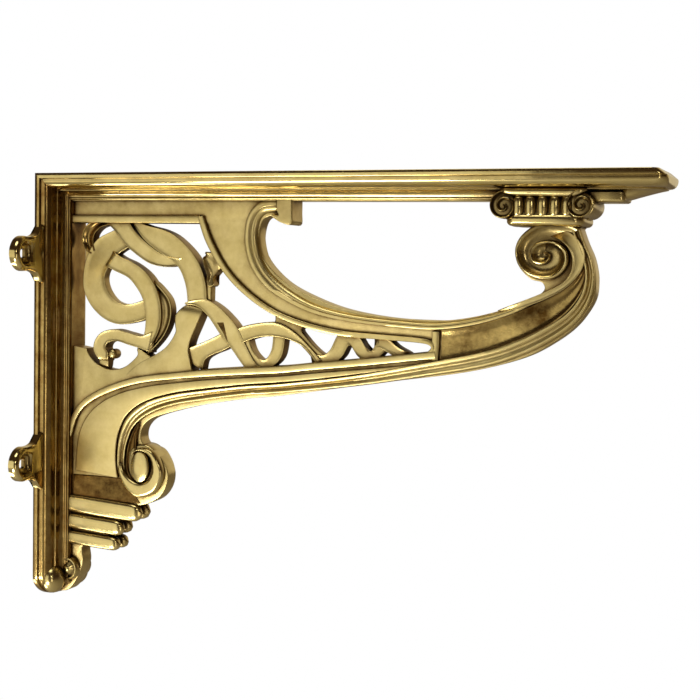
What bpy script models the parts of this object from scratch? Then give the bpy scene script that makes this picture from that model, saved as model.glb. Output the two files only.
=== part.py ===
"""Cast brass shelf bracket with a moulded shelf strip, wall strip and pierced scrollwork.

The wall face is the plane X = 0 and X points away from the wall. The casting is symmetric about
Y = 0. Z is up, and the origin lies on the wall face at the middle of its height.
"""
import math

import bmesh
import bpy
from mathutils import Vector

MM = 0.001

# Overall sizes
PROJECTION = 0.2774
DROP = 0.1930
STRIP_WIDTH = 0.0350
STRIP_DEPTH = 0.0117

# Drawing that the carved outlines below were set out on, in millimetres
DRAWN_PROJECTION = 277.4
DRAWN_DROP = 193.0

# Whole thicknesses of the layers, front to back
WEB_THICKNESS = 0.0070
BORDER_THICKNESS = 0.0100
UNDER_STRAP_THICKNESS = 0.0044
OVER_STRAP_THICKNESS = 0.0060
LEAF_THICKNESS = 0.0050
SCROLL_THICKNESS = 0.0140
EYE_THICKNESS = 0.0170
REED_THICKNESS = 0.0118
REED_SPLIT = 0.0020

# Capital under the front of the shelf strip
CAPITAL_WIDTH = 0.0250
VOLUTE_RADIUS = 0.0056
NECK_WIDTH = 0.0220
PAD_WIDTH = 0.0160

# Screw lugs beside the wall strip
LUG_THICKNESS = 0.0044
LUG_REACH = 0.0282
LUG_RADIUS = 0.0078
SCREW_HOLE_RADIUS = 0.0022
SCREW_HEAD_RADIUS = 0.0044
UPPER_LUG_DROP = 0.0360
LOWER_LUG_DROP = 0.1294

# Depths of the two ends of the strips
FOOT_ROUND = 0.0110
NOSE_ROUND = 0.0060
NOSE_RETURN = 0.0180
NOSE_CHAMFER = 0.0034

# Half section of the moulded strips: share of half width, share of strip depth
STRIP_SECTION = (
    (1.000, 0.000), (1.000, 0.220), (0.925, 0.265), (0.895, 0.400), (0.810, 0.540),
    (0.690, 0.640), (0.655, 0.715), (0.575, 0.740), (0.470, 0.780), (0.370, 0.870),
)
STRIP_FOOT_HALF = BORDER_THICKNESS / 2 + 0.0002

# Outer outline of the web, from the top of the wall strip round by the capital and the foot
WEB_OUTLINE = (
    (5, 5), (256, 5), (250, 12), (246.5, 18), (242.5, 23), (243.7, 27), (247.5, 32.2),
    (249.3, 38.1), (249.8, 43.2), (249.2, 49.2), (246.2, 55.1), (241.5, 61.0), (234.2, 66.8),
    (223.8, 72.8), (209.8, 77.6), (193.8, 81.3), (169, 85.4), (140, 90.4), (114.8, 94.7),
    (100, 96.7), (79, 100.6), (62.9, 104.8), (53.2, 108.2), (49.1, 111.6), (47.6, 115.3),
    (48.2, 119.0), (51.6, 121.6), (57.0, 124.6), (60.6, 129), (61.8, 133.6), (60.6, 139),
    (57, 143.8), (51, 147), (44, 149.5), (37, 156), (31, 163), (25, 168), (17.4, 169.4),
    (17.6, 177), (14.2, 185.4), (9.6, 190.6), (5, 191.4),
)

# Pierced triangle between the wall strip and the two arms
OPENING = (
    (11.3, 21.5), (75.7, 21.5), (80.3, 29.4), (88.6, 40.7), (98.6, 49.2), (111.6, 57.5),
    (126, 64), (143, 67.3), (161, 68.6), (181.5, 69.2), (183.6, 70.7), (182.2, 72.6),
    (178, 73.4), (152.6, 76.9), (132, 79.5), (116.4, 81.6), (98.7, 83), (80.1, 84.8),
    (77.6, 85.4), (70, 86), (58, 84), (46.0, 77.4), (45.4, 80.2), (42.3, 83.4), (38.4, 86),
    (33.9, 87.2), (29.6, 87.2), (24.8, 85.6), (21.7, 83.1), (19.5, 80.3), (18.6, 78),
    (14.3, 77.6), (11.3, 77.4),
)

# Open bay between the hook, the upper arm, the front scroll and the capital
BAY = (
    (121.0, 11.6), (212, 11.6), (216, 21.7), (224.2, 21.9), (219, 26.7), (217.4, 32.7),
    (219.3, 37.9), (224, 42.3), (228.7, 43.7), (228.6, 47.5), (217.9, 53.1), (202.3, 57.7),
    (191.3, 59.7), (181.5, 60.0), (169.4, 59.8), (156.6, 58.6), (143.6, 56.3), (131.6, 52.5),
    (119.9, 47.4), (112.0, 41.6), (106.5, 35.0), (104.7, 28.6), (105.4, 22.4), (107.6, 18.9),
    (112.4, 18.1), (116, 20.4), (121.0, 21.2),
)

# Raised borders, straps and leaves: name, whole thickness, centre line, widths along it
BORDERS = (
    ("top_bead", BORDER_THICKNESS, ((8, 19.7), (40, 19.7), (77, 19.6)), (3.6, 3.6, 3.6)),
    ("arm_bead", BORDER_THICKNESS + 0.0002,
     ((77, 18.5), (81.2, 29), (88.9, 40.8), (98.4, 50), (111.4, 58.2), (126.3, 63.4),
      (143.4, 66.6), (161, 67.7), (182, 68.2)),
     (3.0, 3.2, 2.8, 2.6, 2.4, 2.4, 2.4, 2.4, 2.4)),
    ("bay_border", BORDER_THICKNESS + 0.0004,
     ((102.4, 14), (100.7, 22), (100.5, 30), (103.2, 38), (109.9, 45.7), (119.8, 51.9), (132.7, 56.9),
      (149.4, 60.0), (169, 61.5), (186, 61.9)),
     (9.0, 9.0, 8.6, 7.8, 6.8, 5.6, 4.4, 3.8, 3.6, 3.6)),
    ("front_inner_border", BORDER_THICKNESS + 0.0006,
     ((180, 62.2), (192, 61.6), (203, 59.2), (218.4, 54.4), (229.5, 48.6), (238, 42)),
     (3.6, 3.4, 3.4, 3.4, 3.4, 3.0)),
    ("lower_arm_top", BORDER_THICKNESS + 0.0010,
     ((185.4, 71.2), (178, 75), (152.8, 78.5), (132.2, 81.1), (116.6, 83.2), (98.8, 84.8),
      (80.2, 86.6), (64, 88.6), (48, 91), (36, 94.4), (25, 99), (17, 104.5), (12.6, 111)),
     (3.2, 3.2, 3.2, 3.2, 3.2, 3.2, 3.2, 3.0, 3.0, 3.0, 3.0, 3.0, 3.0)),
    ("lower_border", BORDER_THICKNESS + 0.0008,
     ((239.6, 23), (241, 29), (244.6, 36), (245.6, 43), (243, 50), (238, 57), (230, 64),
      (219, 70.2), (205, 75.2), (180, 80.5), (150, 86.4), (114.8, 91.6), (101, 93), (81, 96.2),
      (65, 99.2), (51, 104.2), (42, 110.5), (37, 117.5), (35, 125), (36.4, 133), (41, 140),
      (48, 143.6)),
     (5.0, 5.6, 6.6, 7.0, 7.0, 6.8, 6.6, 6.4, 6.2, 5.6, 4.6, 4.2, 4.2, 4.6, 5.0, 6.0, 6.6, 7.0,
      6.6, 6.0, 5.6, 5.0)),
)

# Straps and leaves of the pierced work: name, whole thickness, one edge, the other edge
STRAPS = (
    ("ring_strap", UNDER_STRAP_THICKNESS,
     ((38.0, 22.0), (30.6, 25.1), (22.8, 28.9), (18.1, 35.5), (15.9, 42.5), (15.8, 51.0),
      (19.4, 58.4), (26.4, 64.4), (34.6, 66.9), (44.0, 65.6), (52.0, 63.0)),
     ((44.0, 30.5), (38.8, 32.6), (33.6, 35.8), (29.5, 40.5), (27.1, 45.7), (28.4, 51.3),
      (33.0, 56.4), (39.3, 57.7), (46.8, 55.7), (52.0, 53.0))),
    ("crossing_strap", OVER_STRAP_THICKNESS,
     ((31.0, 33.6), (36.1, 36.6), (43.0, 39.4), (49.6, 43.9), (53.8, 49.4), (56.4, 56.6),
      (56.9, 64.0), (55.0, 70.6), (51.0, 77.0)),
     ((26.8, 40.4), (32.4, 42.8), (39.8, 45.9), (44.6, 50.8), (47.6, 56.0), (48.9, 63.1),
      (48.1, 71.1), (44.0, 78.4))),
    ("corner_strap", UNDER_STRAP_THICKNESS + 0.0002,
     ((25.6, 19.6), (29.6, 22.4), (33.6, 26.0), (38.4, 31.4), (45.4, 36.4), (51.5, 39.5), (59.3, 40.7),
      (66.0, 39.6)),
     ((39.6, 19.6), (43.1, 24.9), (49.2, 30.2), (57.0, 34.9), (64.0, 36.4), (69.0, 36.4))),
    ("arc_strap", OVER_STRAP_THICKNESS + 0.0002,
     ((41.6, 19.8), (49.4, 22.3), (57.6, 24.2), (64.3, 27.3), (71.6, 33.4), (76.2, 39.7),
      (79.0, 47.4), (79.9, 55.1), (79.0, 62.0)),
     ((42.8, 22.6), (47.8, 28.8), (55.2, 34.0), (62.1, 37.7), (66.4, 42.2), (69.2, 49.2),
      (70.2, 56.9), (70.0, 62.0))),
    ("fan_strap", UNDER_STRAP_THICKNESS + 0.0008,
     ((72.0, 55.4), (67.5, 58.2), (64.4, 61.8), (64.2, 66.0), (64.4, 69.4), (60.6, 75.2),
      (55.2, 79.2), (46.0, 84.0), (38.0, 90.0)),
     ((80.0, 56.0), (79.0, 62.1), (76.5, 67.0), (73.4, 72.6), (70.6, 77.6), (72.0, 82.0),
      (74.0, 90.0))),
    ("crescent_leaf", LEAF_THICKNESS,
     ((52.6, 46.6), (57.2, 50.8), (60.6, 54.8), (61.9, 59.6), (61.2, 65.0), (58.8, 70.4),
      (54.4, 75.8), (47.4, 82.2)),
     ((51.4, 50.0), (54.6, 56.0), (55.4, 63.0), (53.6, 69.6), (50.0, 75.2), (44.8, 80.0))),
    ("tendril", LEAF_THICKNESS + 0.0002,
     ((54.0, 68.6), (47.5, 71.4), (40.4, 70.4), (33.0, 69.1), (26.3, 70.7), (22.6, 74.8),
      (22.2, 79.4), (25.4, 83.8)),
     ((52.0, 79.0), (46.0, 77.2), (40.4, 75.9), (34.4, 74.5), (29.9, 75.3), (28.5, 77.8),
      (30.0, 80.2), (29.6, 84.0))),
    ("tendril_neck", UNDER_STRAP_THICKNESS + 0.0010,
     ((24.0, 80.0), (24.6, 88.0)), ((30.0, 80.6), (29.4, 88.0))),
    ("wave_strap", OVER_STRAP_THICKNESS + 0.0004,
     ((73.0, 53.0), (79.4, 55.3), (87.3, 59.4), (93.8, 64.8), (97.6, 70.8), (101.4, 77.4),
      (104.8, 82.0), (109.0, 84.0)),
     ((69.6, 57.4), (75.6, 58.2), (80.6, 62.0), (86.4, 68.1), (91.5, 74.4), (96.4, 80.8),
      (101.0, 86.0))),
    ("wave_branch", UNDER_STRAP_THICKNESS + 0.0006,
     ((89.0, 67.4), (84.0, 70.8), (77.4, 73.8), (71.0, 77.4)),
     ((94.0, 73.2), (88.4, 76.2), (82.6, 78.6), (79.0, 81.2), (78.6, 88.0))),
    ("arch_strap", OVER_STRAP_THICKNESS + 0.0006,
     ((93.0, 67.0), (98.5, 65.2), (104.9, 63.8), (112.0, 63.2), (118.0, 64.8), (124.4, 68.8),
      (130.8, 74.6), (137.0, 81.0)),
     ((96.0, 73.4), (101.7, 71.0), (107.6, 69.6), (114.6, 69.6), (121.6, 71.1), (127.6, 74.2),
      (133.0, 81.0))),
    ("hanging_loop", UNDER_STRAP_THICKNESS + 0.0012,
     ((99.0, 68.0), (101.8, 74.6), (105.0, 78.6), (107.4, 79.5), (109.6, 78.0), (111.3, 74.2),
      (111.9, 67.0)),
     ((95.0, 69.0), (99.4, 76.0), (103.9, 81.4), (108.0, 83.4), (112.4, 82.0), (116.4, 77.0),
      (117.9, 67.0))),
    ("arm_tie", UNDER_STRAP_THICKNESS + 0.0014,
     ((111.0, 57.6), (112.4, 61.0), (113.0, 66.0), (123.0, 71.4), (132.0, 80.0)),
     ((130.0, 63.4), (125.0, 65.6), (127.6, 69.4), (132.4, 74.0), (138.0, 77.6))),
    ("zigzag_rise", UNDER_STRAP_THICKNESS + 0.0016,
     ((128.0, 72.6), (133.2, 76.4), (138.0, 74.4), (141.6, 67.8), (145.4, 65.4), (151.0, 67.2),
      (155.6, 74.0), (158.4, 71.6), (160.6, 67.0)),
     ((130.0, 80.8), (139.6, 80.0), (144.2, 76.6), (147.4, 71.6), (151.6, 76.6), (158.0, 78.4),
      (163.4, 73.6), (167.0, 73.6), (171.4, 76.4))),
    ("zigzag_tail", UNDER_STRAP_THICKNESS + 0.0018,
     ((158.0, 66.8), (163.6, 67.4), (168.6, 71.2), (174.0, 73.6)),
     ((158.0, 71.6), (162.4, 73.0), (168.4, 76.0), (174.0, 76.4))),
    ("bud", LEAF_THICKNESS + 0.0006,
     ((78.0, 33.6), (83.4, 34.6), (87.4, 39.6)),
     ((76.6, 36.6), (79.6, 44.6), (80.0, 48.6), (82.6, 48.4), (82.4, 45.0), (85.2, 42.0))),
    ("bud_stem", UNDER_STRAP_THICKNESS + 0.0020,
     ((78.0, 44.0), (78.6, 57.0)), ((81.6, 44.0), (81.4, 57.0))),
    ("hook", BORDER_THICKNESS + 0.0014,
     ((121.0, 8.0), (121.0, 16.0), (120.7, 21.6), (115.6, 20.8), (111.2, 18.2)),
     ((113.6, 8.0), (113.6, 15.0), (114.8, 17.4), (112.0, 17.4))),
)

# Round forms: name, whole thickness, centre, half width along X, half height
ROUNDS = (
    ("corner_curl", LEAF_THICKNESS - 0.0004, (19.6, 28.4), 5.4, 6.4),
    ("tendril_ball", UNDER_STRAP_THICKNESS - 0.0004, (31.6, 80.4), 1.9, 2.1),
    ("front_scroll", SCROLL_THICKNESS, (228.6, 32.4), 12.0, 11.2),
    ("front_scroll_eye", EYE_THICKNESS, (229.4, 32.0), 4.9, 4.9),
    ("lower_scroll", SCROLL_THICKNESS + 0.0002, (48.8, 133.6), 11.6, 12.0),
    ("lower_scroll_eye", EYE_THICKNESS + 0.0002, (47.4, 130.6), 5.6, 7.2),
    ("foot_boss", BORDER_THICKNESS + 0.0024, (11.2, 180.0), 4.6, 4.6),
)

# Banded reeds across the foot of the lower arm: centre depth at the wall, right-hand end, half height
REEDS = ((149.3, 48.6, 4.0), (157.3, 37.4, 3.4), (164.7, 36.4, 3.0))
REED_FALL = math.radians(3.0)


def clear_scene():
    """Remove every object that the file starts with."""
    for item in list(bpy.data.objects):
        bpy.data.objects.remove(item, do_unlink=True)


def collection(name):
    """Return a new collection linked to the scene."""
    made = bpy.data.collections.new(name)
    bpy.context.scene.collection.children.link(made)
    return made


def brass():
    """Return the polished brass of the casting."""
    made = bpy.data.materials.new("polished_brass")
    made.use_nodes = True
    shader = made.node_tree.nodes["Principled BSDF"]
    shader.inputs["Base Color"].default_value = (0.62, 0.47, 0.20, 1.0)
    shader.inputs["Metallic"].default_value = 1.0
    shader.inputs["Roughness"].default_value = 0.22
    made.diffuse_color = (0.78, 0.68, 0.38, 1.0)
    return made


def along(x):
    """Return a drawn distance from the wall, in millimetres, as metres on the part."""
    return x / DRAWN_PROJECTION * PROJECTION


def height(depth):
    """Return the Z of a drawn depth below the top face, in millimetres."""
    return DROP / 2 - depth / DRAWN_DROP * DROP


def smooth(points, steps, closed=False):
    """Return a Catmull-Rom line through points, with steps to each span."""
    count = len(points)
    spans = count if closed else count - 1
    line = []
    for i in range(spans):
        if closed:
            a, b, c, d = (points[(i + k) % count] for k in (-1, 0, 1, 2))
        else:
            a, b = points[max(i - 1, 0)], points[i]
            c, d = points[i + 1], points[min(i + 2, count - 1)]
        for k in range(steps):
            t = k / steps
            line.append(tuple(
                0.5 * (2 * q + (r - p) * t + (2 * p - 5 * q + 4 * r - s) * t * t
                       + (3 * q - p - 3 * r + s) * t ** 3)
                for p, q, r, s in zip(a, b, c, d)))
    if not closed:
        line.append(tuple(points[-1]))
    return line


def solid_from_curve(name, outline, depth, chamfer=0.0):
    """Return a closed mesh object: an outline in the XZ plane, extruded evenly about Y = 0."""
    data = bpy.data.curves.new(name, "CURVE")
    data.dimensions = "2D"
    data.fill_mode = "BOTH"
    data.extrude = depth / 2 - chamfer
    data.bevel_depth = chamfer
    data.bevel_resolution = 0
    data.offset = -chamfer
    spline = data.splines.new("POLY")
    spline.points.add(len(outline) - 1)
    for point, (x, z) in zip(spline.points, outline):
        point.co = (x, z, 0.0, 1.0)
    spline.use_cyclic_u = True
    drawn = bpy.data.objects.new(name + "_outline", data)
    drawn.rotation_euler = (math.pi / 2, 0.0, 0.0)
    bpy.context.scene.collection.objects.link(drawn)
    bpy.context.view_layer.update()
    evaluated = drawn.evaluated_get(bpy.context.evaluated_depsgraph_get())
    mesh = bpy.data.meshes.new_from_object(evaluated)
    mesh.transform(drawn.matrix_world)
    bpy.data.objects.remove(drawn, do_unlink=True)
    return mesh_object(name, mesh)


def mesh_object(name, mesh):
    """Weld a mesh, turn its faces outwards and return it as an object."""
    shape = bmesh.new()
    shape.from_mesh(mesh)
    bmesh.ops.remove_doubles(shape, verts=shape.verts, dist=0.000002)
    bmesh.ops.dissolve_degenerate(shape, edges=shape.edges, dist=0.000001)
    bmesh.ops.recalc_face_normals(shape, faces=shape.faces)
    shape.to_mesh(mesh)
    shape.free()
    mesh.name = name
    return bpy.data.objects.new(name, mesh)


def plate(name, points, thickness, steps=1, chamfer=0.0):
    """Return a flat plate from drawn points."""
    line = smooth(points, steps, closed=True) if steps > 1 else points
    return solid_from_curve(name, [(along(x), height(d)) for x, d in line], thickness, chamfer)


def band(name, centre, widths, thickness, chamfer=0.0, steps=2):
    """Return a strap that follows a centre line, with its own width at each point."""
    drawn = [(x, d, w) for (x, d), w in zip(centre, widths)]
    line = smooth(drawn, steps)
    left, right = [], []
    for i, (x, d, w) in enumerate(line):
        before = line[max(i - 1, 0)]
        after = line[min(i + 1, len(line) - 1)]
        run = Vector((after[0] - before[0], after[1] - before[1])).normalized()
        side = Vector((-run.y, run.x)) * w / 2
        left.append((x + side.x, d + side.y))
        right.append((x - side.x, d - side.y))
    outline = left + right[::-1]
    return solid_from_curve(name, [(along(x), height(d)) for x, d in outline], thickness, chamfer)


def strap(name, edge, other, thickness, steps=2):
    """Return a strap drawn by its two edges, which run the same way."""
    outline = smooth(edge, steps) + smooth(other, steps)[::-1]
    return solid_from_curve(name, [(along(x), height(d)) for x, d in outline], thickness)


def oval(name, centre, half_x, half_z, thickness, chamfer=0.0010, count=24):
    """Return an oval boss."""
    x, d = along(centre[0]), height(centre[1])
    ring = [(x + half_x * MM * math.cos(a), d + half_z * MM * math.sin(a))
            for a in (2 * math.pi * k / count for k in range(count))]
    return solid_from_curve(name, ring, thickness, chamfer)


def lofted(name, rings):
    """Return a closed loft through rings of equal length, with flat ends."""
    shape = bmesh.new()
    made = [[shape.verts.new(p) for p in ring] for ring in rings]
    for low, high in zip(made, made[1:]):
        for i in range(len(low)):
            j = (i + 1) % len(low)
            shape.faces.new((low[i], low[j], high[j], high[i]))
    shape.faces.new(made[0][::-1])
    shape.faces.new(made[-1])
    bmesh.ops.recalc_face_normals(shape, faces=shape.faces)
    mesh = bpy.data.meshes.new(name)
    shape.to_mesh(mesh)
    shape.free()
    return bpy.data.objects.new(name, mesh)


def strip_levels():
    """Return the half width and depth of each step of the strip's moulding."""
    half = STRIP_WIDTH / 2
    levels = [(half * w, STRIP_DEPTH * h) for w, h in STRIP_SECTION]
    levels.append((STRIP_FOOT_HALF, STRIP_DEPTH))
    return levels


def shelf_strip():
    """Return the top strip, with its moulding returned round the front end."""
    top = DROP / 2
    half = STRIP_WIDTH / 2
    rings = []
    for wide, deep in strip_levels():
        share = deep / STRIP_DEPTH
        chamfer = NOSE_CHAMFER * max(0.0, 1.0 - share / 0.24)
        front = PROJECTION - chamfer - NOSE_RETURN * max(0.0, share - 0.66) / 0.34
        corner = min(NOSE_ROUND, wide * 0.9)
        arc = [math.radians(90 - 90 * k / 5) for k in range(6)]
        right = [(front - corner + corner * math.cos(a), wide - corner + corner * math.sin(a))
                 for a in arc]
        left = [(x, -y) for x, y in reversed(right)]
        outline = [(0.0, wide)] + right + left + [(0.0, -wide)]
        rings.append([(x, y, top - deep) for x, y in outline])
    return lofted("shelf_strip", rings)


def wall_strip():
    """Return the back strip, with a rounded foot."""
    top, half = DROP / 2, STRIP_WIDTH / 2
    foot = -DROP / 2
    rings = []
    for wide, deep in strip_levels():
        share = wide / half
        drop = FOOT_ROUND * share
        base = foot + (1 - share) * FOOT_ROUND * 0.7 + drop
        arc = [math.pi * k / 12 for k in range(13)]
        curve = [(wide * math.cos(a), base - drop * math.sin(a)) for a in arc]
        outline = [(wide, top)] + curve + [(-wide, top)]
        rings.append([(deep, y, z) for y, z in outline])
    return lofted("wall_strip", rings)


def lug(name, drop, side):
    """Return one screw lug with its hole."""
    z = DROP / 2 - drop
    reach = LUG_REACH
    ring = [(reach + LUG_RADIUS * math.sin(a), z + LUG_RADIUS * math.cos(a))
            for a in (math.radians(20 * k) for k in range(10))]
    root = STRIP_WIDTH / 2 - 0.004
    outline = [(root, z + LUG_RADIUS * 1.45), (root + 0.005, z + LUG_RADIUS * 1.18)] + ring
    outline += [(root + 0.005, z - LUG_RADIUS * 1.18), (root, z - LUG_RADIUS * 1.45)]
    rings = [[(x, side * y, h) for y, h in outline] for x in (0.0, LUG_THICKNESS)]
    return lofted(name, rings)


def screw_cutter(drop, side):
    """Return the cutter of one countersunk screw hole."""
    head = SCREW_HEAD_RADIUS + 0.0002
    levels = ((-0.002, SCREW_HOLE_RADIUS), (LUG_THICKNESS - 0.0022, SCREW_HOLE_RADIUS),
              (LUG_THICKNESS + 0.0002, head), (LUG_THICKNESS + 0.012, head))
    turn = [2 * math.pi * k / 20 for k in range(20)]
    rings = [[(x, side * LUG_REACH + radius * math.cos(a), DROP / 2 - drop + radius * math.sin(a))
              for a in turn] for x, radius in levels]
    return lofted("screw_hole", rings)


def reeds():
    """Return the three banded reeds, each in a near and a far half."""
    made = []
    for index, (depth, end, half_height) in enumerate(REEDS):
        for side in (-1, 1):
            middle = side * (REED_THICKNESS + REED_SPLIT) / 4
            half_width = (REED_THICKNESS - REED_SPLIT) / 4
            start = Vector((along(7.0), middle, height(depth)))
            tip = Vector((along(end), middle, height(depth) - math.sin(REED_FALL) * along(end)))
            rings = []
            for share, scale in ((0.0, 1.0), (0.93, 1.0), (0.98, 0.8), (1.0, 0.45)):
                centre = start.lerp(tip, share)
                rings.append([(centre.x,
                               centre.y + half_width * scale * math.copysign(
                                   abs(math.cos(a)) ** 0.7, math.cos(a)),
                               centre.z + half_height * MM * scale * math.copysign(
                                   abs(math.sin(a)) ** 0.7, math.sin(a)))
                              for a in (2 * math.pi * k / 16 for k in range(16))])
            made.append(lofted("reed_%d" % index, rings))
    return made


def capital():
    """Return the cushion, four volutes, neck ring and pad under the front of the shelf strip."""
    made = []
    for x, d in ((214.2, 14.0), (244.6, 13.6)):
        centre = (along(x), height(d))
        ring = [(centre[0] + VOLUTE_RADIUS * math.cos(a), centre[1] + VOLUTE_RADIUS * math.sin(a))
                for a in (2 * math.pi * k / 20 for k in range(20))]
        made.append(solid_from_curve("volute", ring, CAPITAL_WIDTH, 0.0010))
    cushion = ((213, 9.0), (246, 9.0), (246.5, 14.0), (243.5, 18.2), (216.5, 18.2), (213, 14))
    made.append(plate("cushion", cushion, CAPITAL_WIDTH - 0.0040, chamfer=0.0012))
    neck = ((216.0, 17.6), (244.2, 17.6), (245.4, 19.6), (244.2, 21.6), (216, 21.6), (214.8, 19.6))
    made.append(plate("neck_ring", neck, NECK_WIDTH, chamfer=0.0008))
    pad = ((250, 9), (260.6, 9), (260.6, 12.3), (252.2, 12.3))
    made.append(plate("pad", pad, PAD_WIDTH))
    return made


def web():
    """Return the thin middle layer with its two large openings cut through."""
    made = plate("web", WEB_OUTLINE, WEB_THICKNESS)
    return made, [plate("opening", OPENING, 0.04), plate("bay", BAY, 0.04)]


def union(base, pieces, hidden, name):
    """Join pieces to base with one exact boolean and return the joined mesh object."""
    group = bpy.data.collections.new(name)
    hidden.children.link(group)
    for piece in pieces:
        piece.hide_render = True
        piece.display_type = "WIRE"
        group.objects.link(piece)
    modifier = base.modifiers.new(name, "BOOLEAN")
    modifier.operation = "UNION"
    modifier.operand_type = "COLLECTION"
    modifier.collection = group
    modifier.solver = "EXACT"
    return base


def cut(base, pieces, hidden, name):
    """Cut pieces out of base."""
    for index, piece in enumerate(pieces):
        piece.hide_render = True
        piece.display_type = "WIRE"
        hidden.objects.link(piece)
        modifier = base.modifiers.new("%s_%d" % (name, index), "BOOLEAN")
        modifier.operation = "DIFFERENCE"
        modifier.object = piece
        modifier.solver = "EXACT"


def main():
    """Build the bracket."""
    clear_scene()
    parts = collection("shelf_bracket")
    cutters = collection("cutters")

    casting, openings = web()
    casting.name = "bracket"
    casting.data.name = "bracket"
    casting.data.materials.append(brass())
    parts.objects.link(casting)
    cut(casting, openings, cutters, "pierce")

    raised = [shelf_strip(), wall_strip()]
    for name, thickness, centre, widths in BORDERS:
        raised.append(band(name, centre, widths, thickness))
    for name, thickness, edge, other in STRAPS:
        raised.append(strap(name, edge, other, thickness))
    for name, thickness, centre, half_x, half_z in ROUNDS:
        raised.append(oval(name, centre, half_x, half_z, thickness))
    raised += reeds() + capital()
    for drop in (UPPER_LUG_DROP, LOWER_LUG_DROP):
        for side in (-1, 1):
            ear = lug("lug", drop, side)
            cut(ear, [screw_cutter(drop, side)], cutters, "screw")
            raised.append(ear)
    union(casting, raised, cutters, "raised_work")


main()
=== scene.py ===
"""Cast brass shelf bracket, dressed over its frame and set up for its portrait.

Drawn places are (x, depth) in millimetres: x from the wall face, depth below the top face. The
casting is even about Y = 0, and half is how far a face stands from that middle plane.
"""

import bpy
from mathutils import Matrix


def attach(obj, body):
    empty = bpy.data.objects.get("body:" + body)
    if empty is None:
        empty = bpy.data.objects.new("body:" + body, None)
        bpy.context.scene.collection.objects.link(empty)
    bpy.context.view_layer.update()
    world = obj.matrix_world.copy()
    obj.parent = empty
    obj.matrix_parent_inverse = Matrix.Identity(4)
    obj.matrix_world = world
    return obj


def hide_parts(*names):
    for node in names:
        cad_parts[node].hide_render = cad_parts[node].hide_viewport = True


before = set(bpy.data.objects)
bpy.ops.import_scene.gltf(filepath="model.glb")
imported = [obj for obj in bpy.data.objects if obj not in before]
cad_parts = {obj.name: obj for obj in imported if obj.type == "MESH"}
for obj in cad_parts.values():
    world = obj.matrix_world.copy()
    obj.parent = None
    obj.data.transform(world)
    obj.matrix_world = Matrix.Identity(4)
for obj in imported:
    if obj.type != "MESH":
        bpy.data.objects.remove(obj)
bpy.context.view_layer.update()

import logging
import math
from dataclasses import dataclass
from enum import Enum

import bmesh
import bpy
from mathutils import Matrix, Vector

MM = 0.001
PROJECTION = 277.4
DROP = 193.0
STRIP_HALF = 17.5
STRIP_DEPTH = 11.7
ROW_PITCH = 0.9
SAME_SPOT = 0.002

Point = tuple[float, float]
Line = tuple[Point, ...]

log = logging.getLogger("bracket")


def place(x: float, depth: float, y: float) -> Vector:
    """Give the point of a drawn place.

    Args:
        x: Distance from the wall in mm.
        depth: Distance below the top face in mm.
        y: Distance from the middle plane in mm.

    Returns:
        The point in metres.
    """
    return Vector((x * MM, y * MM, (DROP / 2 - depth) * MM))


def both_sides(face: list[tuple[float, float, float]]) -> list[Vector]:
    """Close a face's row with its mirror image beyond the middle plane.

    Args:
        face: Distance from the wall, depth and height above the middle plane in mm of each point.

    Returns:
        The points of the closed row in metres.
    """
    return [place(x, d, -y) for x, d, y in face] + [place(x, d, y) for x, d, y in reversed(face)]


def once_round(count: int) -> list[float]:
    """Return angles in radians spaced evenly once round."""
    return [2 * math.pi * k / count for k in range(count)]


def smooth_line(points: list | tuple, steps: int = 8) -> list[tuple]:
    """Draw an even curve through points.

    Args:
        points: Points of any number of values.
        steps: New points to each span.

    Returns:
        The points of the curve.
    """
    last = len(points) - 1
    line = []
    for i in range(last):
        a, b, c, d = points[max(i - 1, 0)], points[i], points[i + 1], points[min(i + 2, last)]
        for k in range(steps):
            t = k / steps
            line.append(tuple(
                0.5 * (2 * q + (r - p) * t + (2 * p - 5 * q + 4 * r - s) * t * t
                       + (3 * q - p - 3 * r + s) * t ** 3)
                for p, q, r, s in zip(a, b, c, d)))
    line.append(tuple(points[-1]))
    return line


def around(centre: Point, ridge: Line) -> Line:
    """Turn angles and radii into drawn points.

    Args:
        centre: The drawn centre.
        ridge: Angle in degrees, from +x towards the top, and radius in mm of each point.

    Returns:
        The drawn points.
    """
    return tuple((centre[0] + radius * math.cos(math.radians(angle)),
                  centre[1] - radius * math.sin(math.radians(angle))) for angle, radius in ridge)


def coil(start: float, turns: float, outer: float, power: float) -> Line:
    """Give the ridge of an even scroll.

    Args:
        start: Angle of its outer end in degrees.
        turns: Turns from the outer end to the eye.
        outer: Radius of its outer end in mm.
        power: How fast the radius falls.

    Returns:
        Angle in degrees and radius in mm of its points.
    """
    steps = 24
    return tuple((start + 360 * turns * k / steps, outer * (1 - k / steps) ** power)
                 for k in range(steps + 1))


def spaced(line: list[tuple], count: int) -> list[Vector]:
    """Space points evenly along a line.

    Args:
        line: The line's points.
        count: How many points to give back.

    Returns:
        The evenly spaced points.
    """
    points = [Vector(p) for p in line]
    runs = [0.0]
    for a, b in zip(points, points[1:]):
        runs.append(runs[-1] + (b - a).length)
    out, i = [], 0
    for k in range(count):
        goal = runs[-1] * k / (count - 1)
        while i < len(points) - 2 and runs[i + 1] < goal:
            i += 1
        gap = runs[i + 1] - runs[i]
        out.append(points[i].lerp(points[i + 1], 0.0 if gap < 1e-9 else min(1.0, (goal - runs[i]) / gap)))
    return out


def length_of(line: list[tuple]) -> float:
    """Return a line's length."""
    return sum((Vector(b) - Vector(a)).length for a, b in zip(line, line[1:]))


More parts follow.
